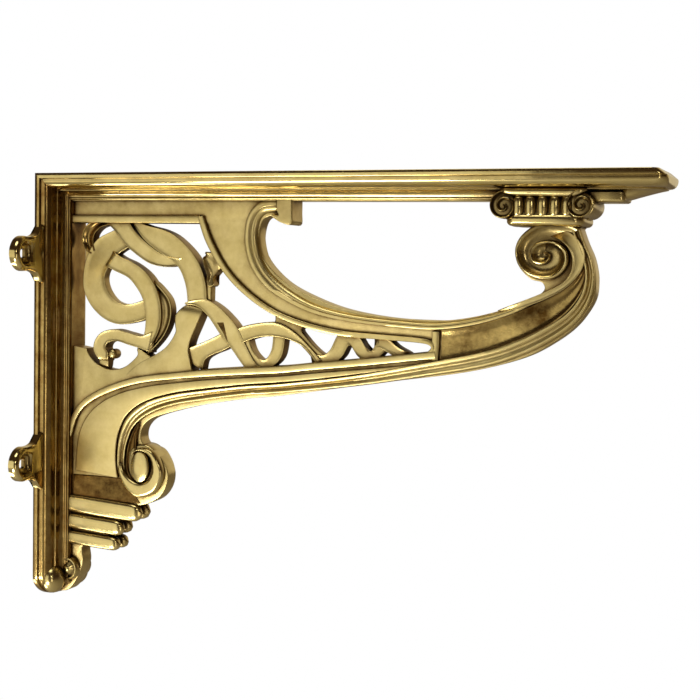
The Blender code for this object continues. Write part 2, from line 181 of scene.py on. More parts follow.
class Face(Enum):
    """Section of a face between two edges: share across, inset in mm, drop in mm."""

    EASED = ((0, 0, 0.8), (0, 0.05, 0.45), (0, 0.2, 0.17), (0, 0.42, 0.04), (0, 0.7, 0), (0.5, 0, 0))
    RIMMED = ((0, 0, 0.5), (0, 0.04, 0.24), (0, 0.14, 0.07), (0, 0.3, 0), (0, 0.5, 0.02),
              (0, 0.85, 0.14), (0.2, 0.5, 0.2), (0.5, 0, 0.22))
    CROWNED = ((0, 0, 2.0), (0.015, 0, 1.4), (0.06, 0, 0.95), (0.14, 0, 0.55), (0.25, 0, 0.26),
               (0.37, 0, 0.08), (0.5, 0, 0))
    HOLLOW = ((0, 0, 0.7), (0, 0.06, 0.3), (0, 0.25, 0.04), (0, 0.5, 0), (0, 0.8, 0.12),
              (0.16, 0.5, 0.75), (0.3, 0.25, 1.25), (0.5, 0, 1.5))
    DISHED = ((0, 0, 0.3), (0, 0.2, 0.08), (0, 0.5, 0.1), (0.08, 0.3, 0.25), (0.18, 0, 0.55),
              (0.3, 0, 0.78), (0.4, 0, 0.88), (0.5, 0, 0.9))
    ROUNDED = ((0, 0, 3.0), (0, 0.1, 1.9), (0, 0.35, 0.95), (0, 0.8, 0.35), (0, 1.4, 0.08), (0, 2.0, 0),
               (0.5, 0, 0))
    BEADED = ((0, 0, 0.9), (0, 0.06, 0.45), (0, 0.25, 0.12), (0, 0.55, 0), (0.5, 0, 0))


class Section(Enum):
    """Section that isn't the same on both sides, from the first edge to the second."""

    BAY_BORDER = ((0, 0, 1.7), (0, 0.1, 0.6), (0, 0.3, 0.15), (0, 0.6, 0.02), (0.12, 0.5, 0.0),
                  (0.30, 0.3, 0.02), (0.36, 0.2, 0.28), (0.40, 0.1, 0.30), (0.46, 0, 0.05),
                  (0.56, 0, 0.02), (0.66, 0, 0.22), (0.76, 0, 0.62), (0.85, 0, 1.2), (0.93, 0, 2.0),
                  (0.98, 0, 2.8), (1, 0, 3.6))
    LOWER_BORDER = ((0, 0, 1.7), (0, 0.1, 0.55), (0, 0.3, 0.12), (0, 0.6, 0), (0.20, 0.2, 0.05),
                    (0.30, 0.1, 0.30), (0.38, 0, 0.75), (0.47, 0, 1.0), (0.56, 0, 0.95),
                    (0.64, 0, 0.62), (0.70, 0, 0.30), (0.78, 0, 0.18), (0.88, 0, 0.30),
                    (0.95, 0, 0.75), (0.99, 0, 1.5), (1, 0, 2.3))
    VOLUTE = ((0, 0, 2.6), (0.01, 0, 1.3), (0.05, 0, 0.45), (0.10, 0, 0.08), (0.15, 0, 0.0),
              (0.21, 0, 0.15), (0.30, 0, 0.75), (0.42, 0, 1.45), (0.56, 0, 1.95), (0.70, 0, 2.2),
              (0.85, 0, 2.3), (0.98, 0, 2.3), (1, 0, 2.6))


def stations(shape: Face | Section) -> list[tuple[float, float, float]]:
    """Give every station of a section, across the whole width.

    Args:
        shape: The section.

    Returns:
        Share across, inset and drop of each station.
    """
    made = list(shape.value)
    if isinstance(shape, Face):
        made += [(1 - share, -inset, drop) for share, inset, drop in reversed(made[:-1])]
    return made


class Casting:
    """Gathers the surfaces of one sub-assembly and turns them into a piece."""

    def __init__(self) -> None:
        """Start with no surfaces."""
        self.shape = bmesh.new()

    def loft(self, rows: list[list[Vector]], pierced: bool = False) -> None:
        """Join closed rows of points into one closed form.

        Args:
            rows: Rows with the same number of points.
            pierced: Whether the last row joins the first, which leaves a hole through the form.
        """
        made = [[self.shape.verts.new(point) for point in row] for row in rows]
        for low, high in zip(made, made[1:] + (made[:1] if pierced else [])):
            for i in range(len(low)):
                j = (i + 1) % len(low)
                self.shape.faces.new((low[i], low[j], high[j], high[i]))
        if not pierced:
            self.shape.faces.new(made[0][::-1])
            self.shape.faces.new(made[-1])

    def ribbon(self, edge: list | tuple, other: list | tuple, half: float, shape: Face | Section,
               steps: int = 8, dip: float = 0.0, roll: float = 3.0) -> None:
        """Cast a strap between two edges that run the same way.

        Args:
            edge: Drawn points of the first edge.
            other: Drawn points of the second edge.
            half: Height of its highest line above the middle plane in mm.
            shape: Its section.
            steps: Curve points to each drawn span.
            dip: How far both ends roll down in mm.
            roll: Length of each end that rolls down in mm.
        """
        first, second = smooth_line(edge, steps), smooth_line(other, steps)
        count = max(4, int(max(length_of(first), length_of(second)) / ROW_PITCH) + 1)
        across = stations(shape)
        # Where the strap is narrower than this, its section flattens
        reach = 2.2 * max(abs(inset) for _, inset, _ in across) + 0.2
        rows = []
        for k, (a, b) in enumerate(zip(spaced(first, count), spaced(second, count))):
            fall = dip * max(0.0, 1 - min(k, count - 1 - k) * ROW_PITCH / roll) ** 2
            span = b - a
            way = span.normalized() if span.length > 1e-6 else Vector((0.0, 1.0))
            ease = min(1.0, span.length / reach)
            rows.append(both_sides([(*(a + span * share + way * inset * ease),
                                     half - fall - drop * (0.4 + 0.6 * ease))
                                    for share, inset, drop in across]))
        self.loft(rows)

    def band(self, centre: Line, widths: tuple[float, ...], half: float, shape: Face | Section) -> None:
        """Cast a strap along a centre line.

        Args:
            centre: Drawn points of its centre line.
            widths: Its width at each point in mm.
            half: Height of its highest line above the middle plane in mm.
            shape: Its section.
        """
        line = smooth_line([(x, d, w) for (x, d), w in zip(centre, widths)])
        first, second = [], []
        for i, (x, d, w) in enumerate(line):
            before, after = line[max(i - 1, 0)], line[min(i + 1, len(line) - 1)]
            run = Vector((after[0] - before[0], after[1] - before[1])).normalized()
            side = Vector((-run.y, run.x)) * w / 2
            first.append((x + side.x, d + side.y))
            second.append((x - side.x, d - side.y))
        self.ribbon(first, second, half, shape, steps=1)

    def turned(self, centre: Point, radii: Point, levels: tuple[Point, ...], count: int = 40) -> None:
        """Cast an oval boss that is the same on both sides.

        Args:
            centre: Its drawn centre.
            radii: Its half width and half height in mm.
            levels: Share of the radii and height above the middle plane in mm, from the rim inward.
            count: Points round it.
        """
        rows = []
        for share, y in [(s, -h) for s, h in reversed(levels)] + list(levels):
            rows.append([place(centre[0] + radii[0] * share * math.cos(a),
                               centre[1] + radii[1] * share * math.sin(a), y) for a in once_round(count)])
        self.loft(rows)

    def egg(self, centre: tuple[float, float, float], radii: tuple[float, float, float],
            fullness: float = 1.0) -> None:
        """Cast an upright egg-like form.

        Args:
            centre: Its drawn x and depth, and its distance from the middle plane in mm.
            radii: Its half sizes along x, down and across in mm.
            fullness: Below 1 its sides run straighter.
        """
        rows = []
        for k in range(1, 16):
            t = math.pi * k / 16
            r = math.sin(t) ** fullness
            rows.append([place(centre[0] + radii[0] * r * math.cos(a), centre[1] - radii[1] * math.cos(t),
                               centre[2] + radii[2] * r * math.sin(a)) for a in once_round(24)])
        self.loft(rows)

    def plate(self, outlines: list[list[Point]], half: float, ease: float) -> None:
        """Cast a flat plate with eased edges.

        Args:
            outlines: The drawn outline, then those of its holes.
            half: Height of its face above the middle plane in mm.
            ease: Radius of its edges in mm.
        """
        data = bpy.data.curves.new("plate", "CURVE")
        data.dimensions = "2D"
        data.fill_mode = "BOTH"
        data.extrude = (half - ease) * MM
        data.bevel_depth = ease * MM
        data.bevel_resolution = 2
        data.offset = -ease * MM
        for outline in outlines:
            spline = data.splines.new("POLY")
            spline.points.add(len(outline) - 1)
            for point, (x, depth) in zip(spline.points, outline):
                point.co = (x * MM, (DROP / 2 - depth) * MM, 0.0, 1.0)
            spline.use_cyclic_u = True
        drawn = bpy.data.objects.new("plate", data)
        bpy.context.scene.collection.objects.link(drawn)
        bpy.context.view_layer.update()
        evaluated = drawn.evaluated_get(bpy.context.evaluated_depsgraph_get())
        mesh = bpy.data.meshes.new_from_object(evaluated)
        mesh.transform(Matrix.Rotation(math.pi / 2, 4, "X"))
        bpy.data.objects.remove(drawn, do_unlink=True)
        extra = bmesh.new()
        extra.from_mesh(mesh)
        bmesh.ops.remove_doubles(extra, verts=extra.verts, dist=SAME_SPOT * MM)
        extra.to_mesh(mesh)
        extra.free()
        self.shape.from_mesh(mesh)
        bpy.data.meshes.remove(mesh)

    def slab(self, start: float, end: float, half: float, corner: float, levels: tuple[Point, ...]) -> None:
        """Cast a member whose plan is a rectangle with round corners.

        Args:
            start: Distance of its near end from the wall in mm.
            end: Distance of its far end from the wall in mm.
            half: Half its width across the bracket in mm.
            corner: Radius of its corners in mm.
            levels: Depth and inset in mm of each line of its profile, from the top down.
        """
        rows = []
        for depth, inset in levels:
            round_by = max(0.3, corner - inset)
            row = []
            for quarter, (cx, cy) in enumerate(((end, half), (start, half), (start, -half), (end, -half))):
                mid_x = cx - math.copysign(inset + round_by, 1 if cx == end else -1)
                mid_y = cy - math.copysign(inset + round_by, cy)
                for k in range(8):
                    a = math.radians(90 * quarter + 90 * k / 7)
                    row.append(place(mid_x + round_by * math.cos(a), depth, mid_y + round_by * math.sin(a)))
            rows.append(row)
        self.loft(rows)

    def volute(self, centre: Point, ridge: Line, half: float, shape: Section, lift: float = 0.0) -> None:
        """Cast a scroll whose hollow channel winds in to its eye.

        Args:
            centre: Its drawn centre.
            ridge: Angle in degrees and radius in mm of points on its ridge, from outside in.
            half: Height of its ridge above the middle plane in mm.
            shape: Section from the ridge to its next turn.
            lift: How much higher it stands at the eye in mm.
        """
        line = smooth_line(ridge)
        start, end = line[0][0], line[-1][0]
        section = stations(shape)
        # Degrees between rows, and the width in mm at which the channel has its full depth
        row_angle, full_width = 6.0, 3.0

        def radius(angle: float) -> float:
            """Return the ridge's radius at an angle in degrees."""
            for (a, r0), (b, r1) in zip(line, line[1:]):
                if a <= angle <= b:
                    return max(0.0, r0 + (r1 - r0) * (angle - a) / (b - a))
            return 0.0

        rows = []
        count = int((end - start) / row_angle)
        for k in range(count):
            angle = start + (end - start) * k / count
            far, near = radius(angle), radius(angle + 360)
            scale = min(1.0, (far - near) / full_width)
            level = half + lift * k / count
            drawn = around(centre, tuple((angle, far + (near - far) * share) for share, _, _ in section))
            rows.append(both_sides([(x, d, level - drop * scale)
                                    for (x, d), (_, _, drop) in zip(drawn, section)]))
        self.loft(rows)

    def piece(self, name: str, finish: bpy.types.Material, sharp: float = 38.0) -> None:
        """Turn what was gathered into a piece that stands for part of the casting.

        Args:
            name: The piece's name.
            finish: Its material.
            sharp: Angle in degrees above which an edge stays crisp.
        """
        bmesh.ops.recalc_face_normals(self.shape, faces=self.shape.faces)
        mesh = bpy.data.meshes.new(name)
        self.shape.to_mesh(mesh)
        self.shape.free()
        mesh.shade_smooth()
        mesh.set_sharp_from_angle(angle=math.radians(sharp))
        mesh.materials.append(finish)
        made = bpy.data.objects.new(name, mesh)
        bpy.context.scene.collection.objects.link(made)
        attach(made, "root")
        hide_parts("bracket")
        log.info("%s: %d faces", name, len(mesh.polygons))


def linear(code: str) -> tuple[float, float, float, float]:
    """Turn an sRGB hex colour to linear.

    Args:
        code: Six hex digits after a hash.

    Returns:
        The linear colour with full alpha.
    """
    parts = [int(code[i:i + 2], 16) / 255 for i in (1, 3, 5)]
    return (*[p / 12.92 if p <= 0.04045 else ((p + 0.055) / 1.055) ** 2.4 for p in parts], 1.0)


def add(tree: bpy.types.NodeTree, kind: str, settings: dict, inputs: dict) -> bpy.types.Node:
    """Add a node with its settings and links.

    Args:
        tree: The tree it goes in.
        kind: The node's type.
        settings: Attributes to set.
        inputs: A value or an output socket for each input, by name or number.

    Returns:
        The node.
    """
    node = tree.nodes.new(kind)
    for key, value in settings.items():
        setattr(node, key, value)
    for key, value in inputs.items():
        if isinstance(value, bpy.types.NodeSocket):
            tree.links.new(value, node.inputs[key])
        else:
            node.inputs[key].default_value = value
    return node


@dataclass(frozen=True)
class CastBrass:
    """Yellow brass, sand cast, then buffed and lacquered.

    Buffing leaves the open faces bright and slightly soft, with fine lines from the mop, while the
    sand's grain stays in the corners. The open face runs from bright to warm in clouds. Painted shade
    lies as a brown wash within wash_mm of a wall, and a dark mix of tarnish and painted shade lies
    within reach_mm.
    """

    name: str
    bright: str = "#E9D698"
    warm: str = "#D9C584"
    # The brown below colours the painted shade wash, and the dark after it colours tarnish mixed with
    # painted shade
    brown: str = "#80592A"
    tarnish: str = "#38220E"
    roughness: float = 0.20
    worn_roughness: float = 0.38
    grain: float = 0.35
    ripple: float = 0.7
    reach_mm: float = 7.0
    wash_mm: float = 24.0
    wash: float = 0.85
    stain: float = 0.30
    cloud_mm: float = 14.0

    def make(self) -> bpy.types.Material:
        """Make the material.

        Returns:
            The node material.
        """
        made = bpy.data.materials.new(self.name)
        made.use_nodes = True
        tree = made.node_tree
        shader = tree.nodes["Principled BSDF"]
        spot = add(tree, "ShaderNodeTexCoord", {}, {}).outputs["Object"]
        # Clouds of colour where the lacquer is a little thicker
        drift = add(tree, "ShaderNodeTexNoise", {},
                    {"Vector": spot, "Scale": 1000 / self.cloud_mm, "Detail": 6.0, "Roughness": 0.68})
        cloud = add(tree, "ShaderNodeMapRange", {},
                    {"Value": drift.outputs[0], "From Min": 0.36, "From Max": 0.66})
        # Grain of the sand, drawn at about 0.8 mm, coarser than real so that it shows
        sand = add(tree, "ShaderNodeTexNoise", {},
                   {"Vector": spot, "Scale": 1250.0, "Detail": 3.0, "Roughness": 0.7})
        # Slow ripple of a hand-buffed face, about 12 mm from crest to crest
        wave = add(tree, "ShaderNodeTexNoise", {},
                   {"Vector": spot, "Scale": 85.0, "Detail": 1.0, "Roughness": 0.4})
        # Lines of the mop, drawn 0.4 mm apart, coarser than real, and drawn out along the shelf strip
        drawn = add(tree, "ShaderNodeMapping", {}, {"Vector": spot, "Scale": (60.0, 900.0, 2500.0)})
        lines = add(tree, "ShaderNodeTexNoise", {},
                    {"Vector": drawn.outputs[0], "Scale": 1.0, "Detail": 2.0})
        # Pits left by the sand, about 3 mm apart
        pits = add(tree, "ShaderNodeTexVoronoi", {}, {"Vector": spot, "Scale": 330.0})
        pit = add(tree, "ShaderNodeMapRange", {},
                  {"Value": pits.outputs["Distance"], "From Min": 0.03, "From Max": 0.12})
        # Tarnish, with painted shade, darkens the colour where the walls stand close
        shelter = add(tree, "ShaderNodeAmbientOcclusion", {"samples": 8},
                      {"Distance": self.reach_mm * MM})
        # Painted shade: a thin brown wash lies further out from the walls
        broad = add(tree, "ShaderNodeAmbientOcclusion", {"samples": 8}, {"Distance": self.wash_mm * MM})
        # Blotches of stain about 8 mm across
        blotch = add(tree, "ShaderNodeTexNoise", {},
                     {"Vector": spot, "Scale": 125.0, "Detail": 5.0, "Roughness": 0.65})
        speckled = add(tree, "ShaderNodeMath", {"operation": "MULTIPLY_ADD"},
                       {0: sand.outputs[0], 1: 0.20, 2: shelter.outputs["AO"]})
        open_face = add(tree, "ShaderNodeMath", {"operation": "MULTIPLY_ADD"},
                        {0: blotch.outputs[0], 1: self.stain, 2: speckled.outputs[0]})
        # Painted shade and tarnish near the walls, with the sand's speckle and stain, darken the colour and
        # roughen the face
        shade_and_stain = add(tree, "ShaderNodeMapRange", {"interpolation_type": "SMOOTHSTEP"},
                   {"Value": open_face.outputs[0], "From Min": 0.52, "From Max": 1.20,
                    "To Min": 0.95, "To Max": 0.0})
        # Painted shade further from the walls, laid on as a brown wash
        clear = add(tree, "ShaderNodeMath", {"operation": "MULTIPLY_ADD"},
                    {0: blotch.outputs[0], 1: 0.5, 2: broad.outputs["AO"]})
        painted_shade_wash = add(tree, "ShaderNodeMapRange", {"interpolation_type": "SMOOTHSTEP"},
                   {"Value": clear.outputs[0], "From Min": 0.60, "From Max": 1.34,
                    "To Min": self.wash, "To Max": 0.0})
        face = add(tree, "ShaderNodeMix", {"data_type": "RGBA"},
                   {0: cloud.outputs[0], 6: linear(self.bright), 7: linear(self.warm)})
        shade_washed = add(tree, "ShaderNodeMix", {"data_type": "RGBA"},
                     {0: painted_shade_wash.outputs[0], 6: face.outputs[2], 7: linear(self.brown)})
        colour = add(tree, "ShaderNodeMix", {"data_type": "RGBA"},
                     {0: shade_and_stain.outputs[0], 6: shade_washed.outputs[2], 7: linear(self.tarnish)})
        rough = add(tree, "ShaderNodeMapRange", {},
                    {"Value": shade_and_stain.outputs[0], "To Min": self.roughness, "To Max": self.worn_roughness})
        patchy = add(tree, "ShaderNodeMath", {"operation": "MULTIPLY_ADD"},
                     {0: cloud.outputs[0], 1: 0.06, 2: rough.outputs[0]})
        rolling = add(tree, "ShaderNodeBump", {},
                      {"Strength": self.ripple, "Distance": 0.00012, "Height": wave.outputs[0]})
        brushed = add(tree, "ShaderNodeBump", {},
                      {"Strength": 0.25, "Distance": 0.00002, "Height": lines.outputs[0],
                       "Normal": rolling.outputs[0]})
        grainy = add(tree, "ShaderNodeBump", {},
                     {"Strength": self.grain, "Distance": 0.00005, "Height": sand.outputs[0],
                      "Normal": brushed.outputs[0]})
        pitted = add(tree, "ShaderNodeBump", {},
                     {"Strength": 0.3, "Distance": 0.00005, "Height": pit.outputs[0],
                      "Normal": grainy.outputs[0]})
        tree.links.new(colour.outputs[2], shader.inputs["Base Color"])
        tree.links.new(patchy.outputs[0], shader.inputs["Roughness"])
        tree.links.new(pitted.outputs[0], shader.inputs["Normal"])
        shader.inputs["Metallic"].default_value = 1.0
        return made


@dataclass(frozen=True)
class PaintedFloor:
    """Matt white painted board, rolled, so it gives the eye only a soft even ground."""

    name: str = "matt_white_board"
    colour: str = "#F4F2EE"
    roller_mm: float = 4.0

    def make(self) -> bpy.types.Material:
        """Make the material.

        Returns:
            The node material.
        """
        made = bpy.data.materials.new(self.name)
        made.use_nodes = True
        tree = made.node_tree
        shader = tree.nodes["Principled BSDF"]
        shader.inputs["Base Color"].default_value = linear(self.colour)
        shader.inputs["Roughness"].default_value = 0.9
        spot = add(tree, "ShaderNodeTexCoord", {}, {}).outputs["Object"]
        stipple = add(tree, "ShaderNodeTexNoise", {}, {"Vector": spot, "Scale": 1000 / self.roller_mm})
        bump = add(tree, "ShaderNodeBump", {},
                   {"Strength": 0.05, "Distance": 0.0002, "Height": stipple.outputs[0]})
        tree.links.new(bump.outputs[0], shader.inputs["Normal"])
        # The board is lit to paper white for the lens, and stays a modest light on the brass
        path = add(tree, "ShaderNodeLightPath", {}, {})
        glow = add(tree, "ShaderNodeEmission", {}, {"Color": (1.0, 1.0, 1.0, 1.0), "Strength": 1.0})
        mixed = add(tree, "ShaderNodeMixShader", {},
                    {0: path.outputs["Is Camera Ray"], 1: shader.outputs[0], 2: glow.outputs[0]})
        tree.links.new(mixed.outputs[0], tree.nodes["Material Output"].inputs["Surface"])
        return made


@dataclass
class Strips:
    """The moulded shelf strip and wall strip, which meet in a mitre."""

    fillet: float = 2.4
    neck_half: float = 16.1
    nose_round: float = 2.6
    nose_return: float = 14.0
    return_from: float = 0.66
    nose_chamfer: float = 3.4
    chamfer_to: float = 0.24
    nose_step: float = 0.35
    corner_limit: float = 0.95
    foot_round: float = 11.0
    foot_taper: float = 0.7
    foot_half: float = 5.2

    def profile(self) -> list[Point]:
        """Give the moulding's half section.

        Returns:
            Half width and depth in mm, from the top face down.
        """
        line = [(17.3, 0.0), (17.44, 0.06), (17.5, 0.2), (17.5, self.fillet - 0.25),
                (17.42, self.fillet - 0.07), (17.2, self.fillet), (16.5, self.fillet + 0.1),
                (16.2, self.fillet + 0.25), (self.neck_half, self.fillet + 0.6)]
        # Ovolo
        line += [(11.4 + 4.7 * math.cos(t), 3.2 + 3.7 * math.sin(t))
                 for t in (math.radians(2 + 84 * k / 14) for k in range(15))]
        line += [(11.0, 7.0), (10.7, 7.15), (10.6, 7.5)]
        # Cavetto
        line += [(10.3 - 3.9 * math.sin(t), 10.1 - 2.5 * math.cos(t))
                 for t in (math.radians(90 * k / 10) for k in range(11))]
        # Bead
        line += [(5.7 + 0.7 * math.cos(t), 10.75 + 0.6 * math.sin(t))
                 for t in (math.radians(-50 + 120 * k / 8) for k in range(9))]
        return line + [(self.foot_half, 11.4), (self.foot_half, STRIP_DEPTH)]

    def shelf_strip(self, cast: Casting) -> None:
        """Cast the shelf strip, with its moulding returned round the nose.

        Args:
            cast: The casting that it joins.
        """
        rows = []
        for wide, deep in self.profile():
            share = deep / STRIP_DEPTH
            chamfer = self.nose_chamfer * max(0.0, 1.0 - share / self.chamfer_to)
            slope = max(0.0, share - self.return_from) / (1.0 - self.return_from)
            front = PROJECTION - chamfer - self.nose_return * slope
            front -= self.nose_step * max(0.0, self.neck_half - wide)
            corner = min(self.nose_round + (STRIP_HALF - wide), wide * self.corner_limit)
            right = [(front - corner + corner * math.cos(a), wide - corner + corner * math.sin(a))
                     for a in (math.radians(90 - 9 * k) for k in range(11))]
            outline = [(deep, wide)] + right + [(x, -y) for x, y in reversed(right)] + [(deep, -wide)]
            rows.append([place(x, deep, y) for x, y in outline])
        cast.loft(rows)

    def wall_strip(self, cast: Casting) -> None:
        """Cast the wall strip with its round foot.

        Args:
            cast: The casting that it joins.
        """
        rows = []
        for wide, deep in self.profile():
            share = wide / STRIP_HALF
            drop = self.foot_round * share
            base = DROP - (1 - share) * self.foot_round * self.foot_taper - drop
            curve = [(wide * math.cos(a), base + drop * math.sin(a))
                     for a in (math.pi * k / 32 for k in range(33))]
            outline = [(wide, deep)] + curve + [(-wide, deep)]
            rows.append([place(deep, depth, y) for y, depth in outline])
        cast.loft(rows)

    def build(self, finish: bpy.types.Material, shaded_wall: bpy.types.Material) -> None:
        """Build and dress the strips.

        Args:
            finish: The shelf strip's material.
            shaded_wall: The wall strip's material.
        """
        shelf, wall = Casting(), Casting()
        self.shelf_strip(shelf)
        self.wall_strip(wall)
        shelf.piece("shelf_strip", finish, sharp=42.0)
        # The wall strip's darker copy of the brass paints its shade
        wall.piece("wall_strip", shaded_wall, sharp=42.0)


@dataclass
class Lugs:
    """The four countersunk screw lugs beside the wall strip."""

    thickness: float = 4.4
    reach: float = 28.2
    radius: float = 7.8
    hole: float = 2.2
    head: float = 4.5
    drops: tuple[float, float] = (36.0, 129.4)
    ease: float = 2.2
    overlap: float = 4.0
    flare: float = 1.72
    bowl_drop: float = 0.9
    bowl_depth: float = 1.8
    # The backs stand a hair off the wall, so that they don't lie in the strip's own back face
    back: float = 0.06

    def outline(self) -> list[Point]:
        """Give the lug's outline about the screw.

        Returns:
            Reach away from the strip and height in mm, once round.
        """
        root = STRIP_HALF - self.overlap - self.reach
        flank = smooth_line([(0.6, 1.0), (-3.0, 0.97), (-6.4, 1.04), (-9.2, 1.28), (-11.4, 1.68)], 4)
        upper = [(x, h * self.radius) for x, h in flank[1:]] + [(root, self.flare * self.radius)]
        lobe = [(self.radius * math.cos(a), self.radius * math.sin(a))
                for a in (math.radians(-85 + 170 * k / 24) for k in range(25))]
        return lobe + upper + [(x, -h) for x, h in reversed(upper)]

    def row(self, side: int, drop: float, x: float, inset: float = 0.0,
            radius: float | None = None) -> list[Vector]:
        """Give one closed line round the lug or round its screw hole.

        Args:
            side: -1 or 1, the side of the strip.
            drop: Depth of the screw in mm.
            x: Distance from the wall in mm.
            inset: Distance inside the outline in mm.
            radius: Radius of a circle to give in place of the outline.

        Returns:
            The line's points.
        """
        points = []
        for reach, rise in self.outline():
            away = math.hypot(reach, rise)
            keep = (radius if radius is not None else away - inset) / away
            points.append(place(x, drop - rise * keep, side * (self.reach + reach * keep)))
        return points

    def build(self, finish: bpy.types.Material) -> None:
        """Build and dress the lugs.

        Args:
            finish: Their material.
        """
        cast = Casting()
        bowl = self.thickness - self.bowl_drop
        for drop in self.drops:
            for side in (-1, 1):
                rows = [self.row(side, drop, self.back), self.row(side, drop, self.thickness - self.ease)]
                for k in range(1, 7):
                    a = math.radians(15 * k)
                    rows.append(self.row(side, drop, self.thickness - self.ease * (1 - math.sin(a)),
                                         inset=self.ease * 0.9 * (1 - math.cos(a))))
                for wider, lower in ((1.1, 0.1), (0.7, 0.35), (0.35, 0.65), (0.0, self.bowl_drop)):
                    rows.append(self.row(side, drop, self.thickness - lower, radius=self.head + wider))
                # A countersink worn to a shallow bowl round the screw's way through
                for k in range(1, 7):
                    a = math.radians(15 * k)
                    rows.append(self.row(side, drop, bowl - self.bowl_depth * math.sin(a),
                                         radius=self.hole + (self.head - self.hole) * math.cos(a)))
                rows.append(self.row(side, drop, self.back, radius=self.hole))
                cast.loft(rows, pierced=True)
        cast.piece("screw_lugs", finish)


@dataclass
class Arms:
    """The web with its two large openings, its raised borders and the arm's panels."""

    web_half: float = 3.6
    web_ease: float = 0.35
    border_half: float = 5.0
    panel_half: float = 4.8

    outline: Line = (
        (5, 5), (256, 5), (250, 12), (246.5, 18), (242.5, 23), (243.7, 27), (247.5, 32.2),
        (249.3, 38.1), (249.8, 43.2), (249.2, 49.2), (246.2, 55.1), (241.5, 61.0), (234.2, 66.8),
        (223.8, 72.8), (209.8, 77.6), (193.8, 81.3), (169, 85.4), (140, 90.4), (114.8, 94.7),
        (100, 96.7), (79, 100.6), (62.9, 104.8), (53.2, 108.2), (49.1, 111.6), (47.6, 115.3),
        (48.2, 119.0), (51.6, 121.6), (57.0, 124.6), (60.6, 129), (61.8, 133.6), (60.6, 139),
        (57, 143.8), (51, 147), (44, 149.5), (37, 156), (31, 163), (25, 168), (17.4, 169.4),
        (17.6, 177), (14.2, 185.4), (9.6, 190.6), (5, 191.4))
    opening_straight: Line = ((18.6, 78), (14.3, 77.6), (11.3, 77.4), (11.3, 21.5), (75.7, 21.5))
    opening_curve: Line = (
        (75.7, 21.5), (80.3, 29.4), (88.6, 40.7), (98.6, 49.2), (111.6, 57.5), (126, 64), (143, 67.3),
        (161, 68.6), (181.5, 69.2), (183.6, 70.7), (182.2, 72.6), (178, 73.4), (152.6, 76.9),
        (132, 79.5), (116.4, 81.6), (98.7, 83), (80.1, 84.8), (77.6, 85.4), (70, 86), (58, 84),
        (46.0, 77.4), (45.4, 80.2), (42.3, 83.4), (38.4, 86), (33.9, 87.2), (29.6, 87.2),
        (24.8, 85.6), (21.7, 83.1), (19.5, 80.3), (18.6, 78))
    bay_straight: Line = ((121.0, 21.2), (121.0, 11.6), (212, 11.6), (216, 21.7))
    bay_curve: Line = (
        (216, 21.7), (224.2, 21.9), (219, 26.7), (217.4, 32.7), (219.3, 37.9), (224, 42.3),
        (228.7, 43.7), (228.6, 47.5), (217.9, 53.1), (202.3, 57.7), (191.3, 59.7), (181.5, 60.0),
        (169.4, 59.8), (156.6, 58.6), (143.6, 56.3), (131.6, 52.5), (119.9, 47.4), (112.0, 41.6),
        (106.5, 35.0), (104.7, 28.6), (105.4, 22.4), (107.6, 18.9), (112.4, 18.1), (116, 20.4),
        (121.0, 21.2))

    def web(self, cast: Casting) -> None:
        """Cast the web, pierced by the opening and the bay.

        Args:
            cast: The casting that it joins.
        """
        opening = list(self.opening_straight[1:-1]) + smooth_line(self.opening_curve, 5)[:-1]
        bay = list(self.bay_straight[1:-1]) + smooth_line(self.bay_curve, 5)
        rim = list(self.outline[:2]) + smooth_line(self.outline[2:], 5)
        cast.plate([rim, opening, bay], self.web_half, self.web_ease)

    def borders(self, cast: Casting) -> None:
        """Cast the raised borders.

        Args:
            cast: The casting that they join.
        """
        # Beads over the opening: along the shelf strip, then down the upper arm and round its point
        cast.band(((8, 19.7), (40, 19.7), (77, 19.6)), (3.6, 3.6, 3.6), self.border_half, Face.BEADED)
        cast.band(((77, 18.5), (81.2, 29), (88.9, 40.8), (98.4, 50), (111.4, 58.2), (126.3, 63.4),
                   (143.4, 66.6), (161, 67.5), (178, 68.2), (183.6, 69.3), (184.6, 71.4), (182.6, 73.6)),
                  (3.0, 3.2, 2.8, 2.6, 2.4, 2.4, 2.4, 2.3, 2.2, 2.0, 1.9, 1.8), self.border_half + 0.1,
                  Face.BEADED)
        # Border round the bay
        cast.band(((113.5, 14.4), (107, 15), (103.2, 18.6), (101.8, 24.4), (102.2, 31), (104.8, 38.4),
                   (110.6, 45.6), (120.2, 51.7), (132.7, 56.9), (149.4, 60.0), (169, 61.5), (186, 61.9),
                   (203, 59.2), (218.4, 54.2), (230.5, 47.9)),
                  (5.6, 6.2, 6.4, 6.6, 6.8, 6.8, 6.4, 5.4, 4.4, 3.8, 3.6, 3.6, 3.4, 3.0, 2.4),
                  self.border_half + 0.2, Section.BAY_BORDER)
        # The inner border broadens and fades into the front scroll's channel
        cast.ribbon(((211.6, 57.8), (224.6, 52.6), (231.3, 49.7), (238.0, 45.8), (242.7, 41.1),
                     (245.3, 36.1), (245.4, 31.2), (243.0, 26.8), (239.0, 23.6), (234.0, 22.4)),
                    ((210.8, 55.0), (222.6, 50.4), (230.0, 47.2), (236.4, 43.8), (239.8, 39.7),
                     (240.6, 34.9), (239.2, 30.5), (235.9, 27.3), (232.4, 25.8), (230.0, 25.6)),
                    self.border_half + 0.5, Face.RIMMED, dip=2.2, roll=12.0)
        # Bead under the opening, which falls to the wall strip
        cast.band(((185.6, 73.9), (178, 75), (152.8, 78.5), (132.2, 81.1), (116.6, 83.2),
                   (98.8, 84.8), (80.2, 86.6), (64, 88.6), (48, 91), (36, 94.4), (25, 99),
                   (17, 104.5), (12.8, 111), (9.6, 121)),
                  (3.2,) * 7 + (3.0,) * 7, self.border_half + 0.3, Face.BEADED)
